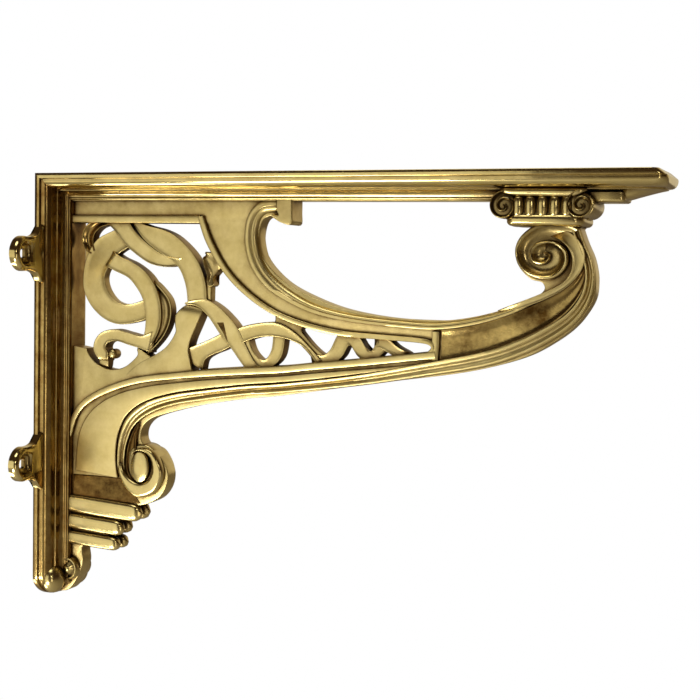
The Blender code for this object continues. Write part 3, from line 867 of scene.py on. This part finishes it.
        # Outer border, from the front scroll to the lower scroll
        cast.band(((241.2, 21.5), (243.6, 28), (246.6, 35), (247.6, 42.5), (245.8, 50), (240.6, 57.4),
                   (231.8, 63.8), (220, 70), (205, 75.2), (180, 80.5), (150, 86.4), (114.8, 91.6),
                   (101, 93), (81, 96.2), (65, 99.2), (51.6, 103.8), (43.4, 110), (39.8, 117.5),
                   (38.4, 125), (38.7, 132), (41.6, 138.4), (47, 142)),
                  (3.4, 3.4, 3.6, 4.0, 4.6, 5.4, 6.0, 6.2, 6.2, 5.6, 4.6, 4.2, 4.2, 4.6, 5.0, 5.6,
                   5.4, 4.8, 4.2, 4.0, 3.8, 3.4), self.border_half + 0.4, Section.LOWER_BORDER)

    def panels(self, cast: Casting) -> None:
        """Cast the lower arm's flat panel, the bar in front of it and the upper arm's hook.

        Args:
            cast: The casting that they join.
        """
        upper = ((176, 78.4), (152.8, 81.4), (132.2, 83.9), (116.6, 86.0), (98.8, 87.7), (80.2, 89.6),
                 (64, 91.8), (50, 94.2), (37.4, 97.6), (27, 102.6), (19.4, 109.6), (15.2, 119), (13.8, 134))
        lower = ((176, 79.6), (152.8, 83.4), (132.2, 86.6), (114.8, 88.9), (100.4, 90.4), (80.4, 93.3),
                 (64, 96.2), (49.6, 101.0), (41, 107.4), (36.6, 116), (35.4, 125), (35.8, 132), (36.6, 136))
        cast.ribbon(upper, lower, self.panel_half, Face.EASED)
        # Bar that closes the point of the opening
        cast.band(((185.6, 64.5), (185.6, 69), (185.2, 76)), (3.4, 3.4, 3.4), self.border_half, Face.BEADED)
        # Hook at the top of the bay
        cast.ribbon(((121.0, 8), (121.0, 16), (120.7, 21.6), (115.6, 20.8), (111.2, 18.2)),
                    ((113.6, 8), (113.6, 15), (114.8, 17.4), (112.0, 17.4)),
                    self.border_half + 0.7, Face.EASED)

    def build(self, finish: bpy.types.Material) -> None:
        """Build and dress the arms.

        Args:
            finish: Their material.
        """
        cast = Casting()
        self.web(cast)
        self.borders(cast)
        self.panels(cast)
        cast.piece("arms_and_borders", finish)


@dataclass(frozen=True)
class Strap:
    """One strap or leaf of the pierced work: its height, section, two drawn edges and how its ends roll."""

    half: float
    shape: Face
    edge: Line
    other: Line
    dip: float = 1.2
    roll: float = 3.0


@dataclass
class PiercedWork:
    """The interlaced straps, leaves and tendril that fill the opening between the arms."""

    under: float = 2.2
    over: float = 3.0
    leaf: float = 2.5
    flush: float = 3.68

    def straps(self) -> tuple[Strap, ...]:
        """Give every strap and leaf.

        Returns:
            The straps, from the wall outwards.
        """
        return (
            # Strap of the ring by the wall
            Strap(self.under, Face.RIMMED,
                  ((38.0, 22.0), (30.6, 25.1), (22.8, 28.9), (18.1, 35.5), (15.9, 42.5), (15.8, 51.0),
                   (19.4, 58.4), (26.4, 64.4), (34.6, 66.9), (44.0, 65.6), (52.0, 63.0)),
                  ((44.0, 30.5), (38.8, 32.6), (33.6, 35.8), (29.5, 40.5), (27.1, 45.7), (28.4, 51.3),
                   (33.0, 56.4), (39.3, 57.7), (46.8, 55.7), (52.0, 53.0))),
            # Strap that crosses the ring
            Strap(self.over, Face.RIMMED,
                  ((31.0, 33.6), (36.1, 36.6), (43.0, 39.4), (49.6, 43.9), (53.8, 49.4), (56.4, 56.6),
                   (56.9, 64.0), (55.0, 70.6), (51.0, 77.0)),
                  ((26.8, 40.4), (32.4, 42.8), (39.8, 45.9), (44.6, 50.8), (47.6, 56.0), (48.9, 63.1),
                   (48.1, 71.1), (44.0, 78.4))),
            # Strap from the top corner
            Strap(self.under + 0.9, Face.RIMMED,
                  ((25.6, 19.6), (29.6, 22.4), (33.6, 26.0), (38.4, 31.4), (45.4, 36.4), (51.5, 39.5),
                   (59.3, 40.7), (66.0, 39.6)),
                  ((39.6, 19.6), (43.1, 24.9), (49.2, 30.2), (57.0, 34.9), (64.0, 36.4), (69.0, 36.4))),
            # Wide arc
            Strap(self.over + 0.1, Face.RIMMED,
                  ((41.6, 19.8), (49.4, 22.3), (57.6, 24.2), (64.3, 27.3), (71.6, 33.4), (76.2, 39.7),
                   (79.0, 47.4), (79.8, 55.4)),
                  ((42.8, 22.6), (47.8, 28.8), (55.2, 34.0), (62.1, 37.7), (66.4, 42.2), (69.2, 49.2),
                   (70.2, 56.6)), dip=0.0),
            # Fan that rises flush from the lower arm and rolls over at its top
            Strap(self.flush, Face.EASED,
                  ((72.0, 55.4), (67.5, 58.2), (64.4, 61.8), (64.2, 66.0), (64.4, 69.4), (60.6, 75.2),
                   (55.2, 79.2), (46.0, 84.0), (39.0, 90.0), (36.0, 97.0)),
                  ((79.0, 56.4), (77.6, 60.5), (75.2, 66.0), (72.6, 71.6), (71.4, 76.4), (72.4, 82.0),
                   (74.0, 89.0), (74.6, 96.0)), dip=2.8, roll=9.0),
            # Crescent leaf
            Strap(self.leaf, Face.HOLLOW,
                  ((52.6, 46.6), (57.2, 50.8), (60.6, 54.8), (61.9, 59.6), (61.2, 65.0), (58.8, 70.4),
                   (54.4, 75.8), (47.4, 82.2)),
                  ((51.4, 50.0), (54.6, 56.0), (55.4, 63.0), (53.6, 69.6), (50.0, 75.2), (44.8, 80.0))),
            # Tendril and its neck
            Strap(self.leaf + 0.8, Face.RIMMED,
                  ((54.0, 68.6), (47.5, 71.4), (40.4, 70.4), (33.0, 69.1), (26.3, 70.7), (22.6, 74.8),
                   (22.2, 79.4), (25.4, 83.8)),
                  ((52.0, 79.0), (46.0, 77.2), (40.4, 75.9), (34.4, 74.5), (29.9, 75.3), (28.5, 77.8),
                   (30.0, 80.2), (29.6, 84.0))),
            Strap(self.under, Face.EASED, ((24.0, 80.0), (24.6, 88.0)), ((30.0, 80.6), (29.4, 88.0))),
            # Wave that falls to the lower arm, and its branch
            Strap(self.over + 0.2, Face.RIMMED,
                  ((68.6, 56.2), (73.5, 54.6), (79.4, 54.4), (85.6, 57.4), (91.0, 61.8), (94.8, 66.0),
                   (97.6, 70.8), (101.4, 77.4), (104.8, 82.0), (109.0, 84.0)),
                  ((69.0, 57.0), (73.0, 57.2), (76.4, 58.4), (80.6, 62.0), (83.8, 66.0), (86.6, 69.6),
                   (91.5, 74.8), (96.4, 80.8), (101.0, 86.0)), dip=0.4),
            Strap(self.under + 0.5, Face.RIMMED,
                  ((89.0, 67.4), (84.0, 70.4), (77.4, 73.4), (71.0, 76.0), (66.0, 79.0)),
                  ((94.0, 73.2), (88.4, 76.2), (82.6, 78.6), (79.0, 81.2), (78.0, 86.0)), dip=0.3),
            # Arch, its hanging loop and the tie to the upper arm
            Strap(self.over + 0.3, Face.RIMMED,
                  ((93.0, 67.0), (98.5, 65.2), (104.9, 63.8), (112.0, 63.2), (118.0, 64.8),
                   (124.4, 68.8), (130.8, 74.6), (137.0, 81.0)),
                  ((96.0, 73.4), (101.7, 71.0), (107.6, 69.6), (114.6, 69.6), (121.6, 71.1),
                   (127.6, 74.2), (133.0, 81.0))),
            Strap(self.under + 0.6, Face.RIMMED,
                  ((99.6, 66.4), (101.8, 74.6), (105.0, 78.6), (107.4, 79.5), (109.6, 78.0),
                   (111.3, 74.2), (111.9, 67.0)),
                  ((95.0, 69.0), (99.4, 76.0), (103.9, 81.4), (108.0, 83.4), (112.4, 82.0),
                   (116.4, 77.0), (117.9, 67.0))),
            Strap(self.under + 0.1, Face.EASED,
                  ((111.0, 57.6), (112.4, 61.0), (113.0, 66.0), (123.0, 71.4), (132.0, 80.0)),
                  ((130.0, 63.4), (125.0, 65.6), (127.6, 69.4), (132.4, 74.0), (138.0, 77.6))),
            # Zigzag in the point of the opening
            Strap(self.under + 0.8, Face.RIMMED,
                  ((128.0, 72.6), (133.2, 76.4), (138.0, 74.4), (141.6, 67.8), (145.4, 65.4),
                   (151.0, 67.2), (155.6, 74.0), (158.4, 71.6), (160.6, 67.0)),
                  ((130.0, 80.8), (139.6, 80.0), (144.2, 76.6), (147.4, 71.6), (151.6, 76.6),
                   (158.0, 78.4), (163.4, 73.6), (167.0, 73.6), (171.4, 76.4))),
            Strap(self.under + 0.9, Face.RIMMED,
                  ((158.0, 66.8), (163.6, 67.4), (168.6, 71.2), (174.0, 73.6)),
                  ((158.0, 71.6), (162.4, 73.0), (168.4, 76.0), (174.0, 76.4))),
            # Bud and its stem
            Strap(self.leaf + 0.3, Face.HOLLOW, ((78.0, 33.6), (83.4, 34.6), (87.4, 39.6)),
                  ((76.6, 36.6), (79.6, 44.6), (80.0, 48.6), (82.6, 48.4), (82.4, 45.0), (85.2, 42.0))),
            Strap(self.under, Face.EASED, ((78.0, 44.0), (78.6, 57.0)), ((81.6, 44.0), (81.4, 57.0))),
        )

    def build(self, finish: bpy.types.Material) -> None:
        """Build and dress the pierced work.

        Args:
            finish: Its material.
        """
        cast = Casting()
        for strap in self.straps():
            cast.ribbon(strap.edge, strap.other, strap.half, strap.shape, dip=strap.dip, roll=strap.roll)
        # Ball in the tendril's curl
        cast.turned((31.4, 80.4), (2.2, 2.3), ((1.0, 1.2), (0.92, 2.2), (0.7, 2.9), (0.35, 3.2)))
        cast.piece("pierced_work", finish)


@dataclass
class Scrolls:
    """The front scroll under the capital and the lower scroll above the reeds."""

    front_centre: Point = (229.3, 32.4)
    front_half: float = 5.9
    front_ridge: Line = (
        (36, 18.0), (55, 15.2), (73, 13.7), (102, 12.4), (126, 11.7), (158, 11.9), (180, 11.7),
        (200, 11.1), (233, 10.3), (270, 10.2), (296, 10.6), (325, 10.7), (350, 10.3), (372, 9.2),
        (401, 7.2), (450, 5.3), (509, 5.5), (546, 5.8), (573, 5.5), (613, 4.5), (663, 3.7), (698, 3.1),
        (740, 2.0), (790, 0.5))
    lower_eye: Point = (49.0, 130.0)
    lower_half: float = 6.6
    ring_outer: Line = (
        (176, 11.6), (196, 12.2), (225, 12.8), (250, 13.9), (270, 14.3), (300, 13.6), (330, 12.3),
        (360, 11.0), (405, 9.7), (440, 8.7), (465, 8.1), (490, 7.6))
    ring_inner: Line = (
        (176, 9.4), (196, 8.8), (225, 7.7), (250, 7.3), (270, 7.1), (300, 6.5), (330, 5.9),
        (360, 5.6), (405, 6.1), (440, 6.7), (465, 7.0), (490, 7.2))

    def build(self, finish: bpy.types.Material) -> None:
        """Build and dress the scrolls.

        Args:
            finish: Their material.
        """
        cast = Casting()
        # Each scroll stands on a round seat, and the lower one has a raised oval eye
        cast.volute(self.front_centre, self.front_ridge, self.front_half, Section.VOLUTE, lift=1.6)
        cast.turned(self.front_centre, (10.6, 9.6), ((1.0, 2.5), (0.97, 3.2), (0.9, 3.5), (0.3, 3.5)))
        cast.ribbon(around(self.lower_eye, self.ring_outer), around(self.lower_eye, self.ring_inner),
                    self.lower_half, Face.ROUNDED, dip=0.8, roll=5.0)
        cast.turned(self.lower_eye, (9.0, 10.0), ((1.0, 3.8), (0.97, 4.3), (0.92, 4.5), (0.3, 4.5)))
        cast.turned(self.lower_eye, (4.7, 7.0),
                    ((1.0, 4.4), (0.995, 6.4), (0.96, 6.8), (0.88, 7.0), (0.3, 7.1)))
        cast.piece("scrolls", finish)


@dataclass
class Capital:
    """The small scrolled capital between the front scroll and the shelf strip."""

    half: float = 12.5
    volute_radius: float = 6.1
    left: Point = (214.2, 14.0)
    right: Point = (244.6, 13.6)
    flutes: int = 5
    flute_gap: float = 5.6
    flute_depth: float = 14.1
    flute_half: float = 10.2

    def build(self, finish: bpy.types.Material) -> None:
        """Build and dress the capital.

        Args:
            finish: Its material.
        """
        cast = Casting()
        for centre in (self.left, self.right):
            cast.volute(centre, coil(90.0, 2.1, self.volute_radius, 0.8), self.half, Section.VOLUTE)
            cast.turned(centre, (5.0, 5.0), ((1.0, 9.0), (0.95, 10.6), (0.8, 10.9), (0.3, 10.9)), 28)
        # Channel that sags from one scroll to the other
        sag = ((212.4, 8.4), (216, 10.0), (222, 10.3), (229.4, 10.4), (237, 10.6), (243, 10.4),
               (246.6, 8.4))
        cast.ribbon(sag, tuple((x, 6.6) for x, _ in sag), self.half - 0.2, Face.CROWNED, dip=1.4)
        # Ground between the scrolls, and the flutes that stand on it
        cast.ribbon(((216.5, 18.4), (229.5, 18.6), (243.5, 18.4)),
                    ((213, 10), (229.5, 10), (246, 10)), self.half - 2.2, Face.CROWNED)
        first, last = self.left[0] + self.flute_gap, self.right[0] - self.flute_gap
        for k in range(self.flutes):
            for side in (-1, 1):
                x = first + (last - first) * k / (self.flutes - 1)
                cast.egg((x, self.flute_depth, side * self.flute_half), (2.35, 4.0, 1.7), 0.45)
        # Neck ring, a full round with a fine line over it
        cast.slab(214.8, 245.6, 11.6, 4.0,
                  ((16.4, 1.8), (16.6, 1.2), (17.4, 1.1), (17.6, 0.5), (18.1, 0.2), (19.2, 0.0),
                   (20.3, 0.1), (21.0, 0.5), (21.5, 1.2), (21.7, 2.0)))
        # Pad that runs on from the capital towards the nose
        cast.slab(246.0, 260.6, 8.0, 2.0, ((8.6, 0.0), (11.2, 0.0), (11.7, 0.15), (12.1, 0.5), (12.3, 1.1)))
        cast.piece("capital", finish)


@dataclass
class Foot:
    """The three split reeds across the foot of the lower arm, and the boss on the strip's foot."""

    reeds: tuple[tuple[float, float, float], ...] = (
        (149.1, 48.8, 4.2), (157.3, 39.6, 3.6), (164.8, 37.4, 3.2))
    start: float = 7.0
    fall: float = math.radians(3.0)
    thickness: float = 11.8
    split: float = 2.0
    squareness: float = 0.62

    def bulge(self, value: float) -> float:
        """Return a sine or cosine drawn out, so that a circle fills out towards a square."""
        return math.copysign(abs(value) ** self.squareness, value)

    def reed(self, cast: Casting, depth: float, end: float, height: float, side: int) -> None:
        """Cast one half of a reed.

        Args:
            cast: The casting that it joins.
            depth: Depth of its centre at the wall in mm.
            end: Distance of its tip from the wall in mm.
            height: Its half height in mm.
            side: -1 or 1, the near or the far half.
        """
        middle = side * (self.thickness + self.split) / 4
        wide = (self.thickness - self.split) / 4
        rows = []
        for k in range(29):
            share = k / 28
            x = self.start + (end - self.start) * share
            tip = max(0.0, (x - (end - height * 1.1)) / (height * 1.1))
            scale = math.sqrt(max(0.03, 1 - tip * tip)) if tip else 1.0
            swell = scale * (0.94 + 0.06 * math.sin(math.pi * share))
            centre = depth + math.sin(self.fall) * x
            rows.append([place(x, centre + height * swell * self.bulge(math.sin(a)),
                               middle + wide * swell * self.bulge(math.cos(a))) for a in once_round(32)])
        cast.loft(rows)

    def build(self, finish: bpy.types.Material) -> None:
        """Build and dress the foot.

        Args:
            finish: Its material.
        """
        cast = Casting()
        for depth, end, height in self.reeds:
            for side in (-1, 1):
                self.reed(cast, depth, end, height, side)
        # Domed ends of the wall strip's round moulding
        for side in (-1, 1):
            cast.egg((5.6, 184.4, side * 9.4), (5.2, 6.6, 6.0))
        # Boss with a ring and a button
        cast.turned((11.2, 180.0), (5.0, 5.4), ((1.0, 4.2), (0.97, 5.6), (0.88, 6.5), (0.78, 6.5),
                                                (0.68, 5.6), (0.55, 5.9), (0.32, 7.3), (0.12, 7.7)))
        cast.piece("reeds_and_boss", finish)


@dataclass
class Hollows:
    """The hollow and sunk places, laid in darker brass that paints their shade."""

    arm_half: float = 4.6
    toe_half: float = 3.9
    channel_half: float = 5.2
    strap_half: float = 3.12
    curl_half: float = 2.5

    def build(self, finish: bpy.types.Material, sunk_shade_brass: bpy.types.Material) -> None:
        """Build and dress the hollow and the sunk places.

        Args:
            finish: Material of the hollow places.
            sunk_shade_brass: Material of the sunk places.
        """
        # Thin sheets of darker brass laid over the web and straps, which paint the shade of the hollow and
        # sunk places
        cast, sunk = Casting(), Casting()
        # Panel of the front arm
        sunk.ribbon(((188.0, 63.4), (196, 62.4), (205, 60.2), (216, 56.6), (226, 52.2), (233.5, 48.4),
                     (240, 43.6), (244.2, 37.6), (245.8, 33.0)),
                    ((188.0, 77.0), (198, 74.9), (208, 72.2), (218, 68.2), (228.4, 63.0), (238, 56.0),
                     (243.8, 48.6), (246.2, 41.5), (246.2, 34.0)), self.arm_half, Face.DISHED)
        # Sunk toe of the lower arm, above the reeds
        cast.ribbon(((12.4, 136.2), (24, 136.0), (39, 136.2)), ((12.4, 147.0), (24, 147.6), (48, 147.2)),
                    self.toe_half, Face.EASED)
        # Channel beside the lower scroll's eye
        cast.ribbon(((47.0, 110.4), (43.2, 117), (41.2, 125), (41.6, 133), (45.4, 138.6)),
                    ((47.6, 110.8), (46.2, 117), (46.0, 123), (45.4, 131), (46.6, 136.6)),
                    self.channel_half, Face.DISHED)
        # Curl in the top corner
        sunk.band(((20.6, 34.6), (18.6, 31.6), (18.0, 27.6), (20.0, 24.0), (24.4, 21.4), (30.6, 20.8)),
                  (3.0, 5.6, 6.6, 6.0, 4.6, 3.0), self.curl_half, Face.HOLLOW)
        # Notch in the falling strap
        cast.ribbon(((84.6, 64.4), (87.4, 68.4), (90.2, 72.8)), ((88.4, 64.2), (89.6, 68.6), (90.6, 72.8)),
                    self.strap_half, Face.EASED)
        cast.piece("hollow_places", finish)
        sunk.piece("sunk_places", sunk_shade_brass)


@dataclass
class Studio:
    """White sweep, soft lights and the camera."""

    azimuth: float = 22.0
    elevation: float = 3.6
    roll: float = 1.2
    sensor_mm: float = 36.0
    focal_px: float = 1300.0
    frame_px: float = 700.0
    px_per_mm: float = 2.38
    aim: tuple[float, float, float] = (146.4, 0.0, -73.8)
    floor_height: float = -0.42
    floor_half: float = 8.0
    lit_spot: tuple[float, float, float] = (0.13, 0.0, 0.0)

    def camera(self) -> None:
        """Set the camera at the photograph's angle."""
        az, el, roll = (math.radians(a) for a in (self.azimuth, self.elevation, self.roll))
        back = Vector((math.sin(az) * math.cos(el), -math.cos(az) * math.cos(el), math.sin(el)))
        right = Vector((math.cos(az), math.sin(az), 0.0))
        up = back.cross(right)
        tilted = math.cos(roll) * right + math.sin(roll) * up
        upright = math.cos(roll) * up - math.sin(roll) * right
        spot = Vector(self.aim) * MM + back * self.focal_px / self.px_per_mm * MM
        spot.z += DROP / 2 * MM
        data = bpy.data.cameras.new("camera")
        data.sensor_width = self.sensor_mm
        data.lens = self.focal_px / self.frame_px * self.sensor_mm
        data.clip_start = 0.01
        made = bpy.data.objects.new("camera", data)
        made.matrix_world = Matrix.Translation(spot) @ Matrix((tilted, upright, back)).transposed().to_4x4()
        bpy.context.scene.collection.objects.link(made)
        bpy.context.scene.camera = made

    def card(self, name: str, spot: tuple[float, float, float], size: Point, power: float,
             tint: str) -> None:
        """Hang a soft light that faces the bracket.

        Args:
            name: Its name.
            spot: Its place in metres.
            size: Its width and height in metres.
            power: Its power in watts.
            tint: Its colour.
        """
        data = bpy.data.lights.new(name, "AREA")
        data.shape = "RECTANGLE"
        data.size, data.size_y = size
        data.energy = power
        data.color = linear(tint)[:3]
        made = bpy.data.objects.new(name, data)
        made.location = spot
        aim = Vector(self.lit_spot) - made.location
        made.rotation_euler = aim.to_track_quat("-Z", "Y").to_euler()
        bpy.context.scene.collection.objects.link(made)

    def build(self) -> None:
        """Set the floor, the world, the lights and the camera."""
        mesh = bpy.data.meshes.new("floor")
        mesh.from_pydata([(x * self.floor_half, y * self.floor_half, self.floor_height)
                          for x, y in ((-1, -1), (1, -1), (1, 1), (-1, 1))], [], [(0, 1, 2, 3)])
        mesh.materials.append(PaintedFloor().make())
        floor = bpy.data.objects.new("floor", mesh)
        bpy.context.scene.collection.objects.link(floor)
        world = bpy.data.worlds.new("studio")
        world.use_nodes = True
        tree = world.node_tree
        tree.nodes.clear()
        path = add(tree, "ShaderNodeLightPath", {}, {})
        # The room is dark in front of the bracket and pale behind it
        way = add(tree, "ShaderNodeTexCoord", {}, {})
        parts = add(tree, "ShaderNodeSeparateXYZ", {}, {"Vector": way.outputs["Generated"]})
        pale = add(tree, "ShaderNodeMapRange", {"interpolation_type": "SMOOTHSTEP"},
                   {"Value": parts.outputs["Y"], "From Min": 0.1, "From Max": 0.9,
                    "To Min": 0.11, "To Max": 0.80})
        tint = add(tree, "ShaderNodeMix", {"data_type": "RGBA"},
                   {0: pale.outputs[0], 6: linear("#9C7048"), 7: linear("#F2E8CC")})
        room = add(tree, "ShaderNodeBackground", {},
                   {"Color": tint.outputs[2], "Strength": pale.outputs[0]})
        paper = add(tree, "ShaderNodeBackground", {}, {"Color": (1.0, 1.0, 1.0, 1.0), "Strength": 1.0})
        mixed = add(tree, "ShaderNodeMixShader", {},
                    {0: path.outputs["Is Camera Ray"], 1: room.outputs[0], 2: paper.outputs[0]})
        add(tree, "ShaderNodeOutputWorld", {}, {"Surface": mixed.outputs[0]})
        bpy.context.scene.world = world
        bpy.context.scene.view_settings.view_transform = "Standard"
        # Broad card that the flat faces mirror, ending where the shelf strip falls dark
        self.card("front_card", (-0.49, -1.20, -0.06), (1.02, 1.0), 2.55, "#FFFCEC")
        # Cards that draw the streaks along the mouldings
        self.card("top_card", (-0.02, -0.6, 1.1), (0.7, 0.5), 3.3, "#FFFEF2")
        self.card("low_card", (-0.12, -0.52, -0.37), (0.26, 0.16), 2.2, "#FFFEF6")
        self.card("foot_card", (-0.24, -0.16, -0.38), (0.14, 0.14), 0.45, "#FFFEF6")
        # Slim cards that draw a streak down the wall strip and light the capital
        self.card("right_low_card", (0.60, -0.78, -0.20), (0.12, 0.32), 0.32, "#FFF6E0")
        self.card("right_high_card", (0.52, -0.84, 0.24), (0.14, 0.16), 0.4, "#FFF8E6")
        self.camera()


def main() -> None:
    """Build every sub-assembly in order, dress it and set up the portrait."""
    logging.basicConfig(level=logging.INFO, format="%(name)s %(message)s")
    polished = CastBrass("polished_cast_brass", roughness=0.17, wash=0.6).make()
    softer = CastBrass("softer_cast_brass", roughness=0.28, worn_roughness=0.46, grain=0.5,
                       stain=0.42, cloud_mm=9.0).make()
    glossy = CastBrass("glossy_cast_brass", roughness=0.09, worn_roughness=0.26, grain=0.25,
                       ripple=0.9, wash=0.7, stain=0.42).make()
    # The wall strip takes a darker copy of the brass, which paints its shade
    wall_shade_brass = CastBrass("wall_shade_cast_brass", bright="#D8BE7A", warm="#9C7A44", roughness=0.14,
                     worn_roughness=0.32, grain=0.4, ripple=1.0, stain=0.55, cloud_mm=9.0).make()
    # Darker copy of the brass for the hollow places, which paints their shade
    tarnished = CastBrass("tarnished_cast_brass", bright="#8E7442", warm="#33220F", roughness=0.14,
                          worn_roughness=0.34, grain=0.7, ripple=1.0, stain=0.5, cloud_mm=5.0).make()
    # Darker copy of the brass for the sunk places, which paints their shade
    sunk_shade_brass = CastBrass("sunk_shade_cast_brass", bright="#DCC27C", warm="#5C421C", roughness=0.13,
                            worn_roughness=0.32, grain=0.6, ripple=1.0, stain=0.4, cloud_mm=16.0).make()
    for part, finishes in ((Strips(), (glossy, wall_shade_brass)), (Lugs(), (glossy,)), (Arms(), (softer,)),
                           (PiercedWork(), (softer,)), (Scrolls(), (polished,)), (Capital(), (polished,)),
                           (Foot(), (polished,)), (Hollows(), (tarnished, sunk_shade_brass))):
        part.build(*finishes)
        log.info("built %s", type(part).__name__)
    Studio().build()


if __name__ == "__main__":
    main()
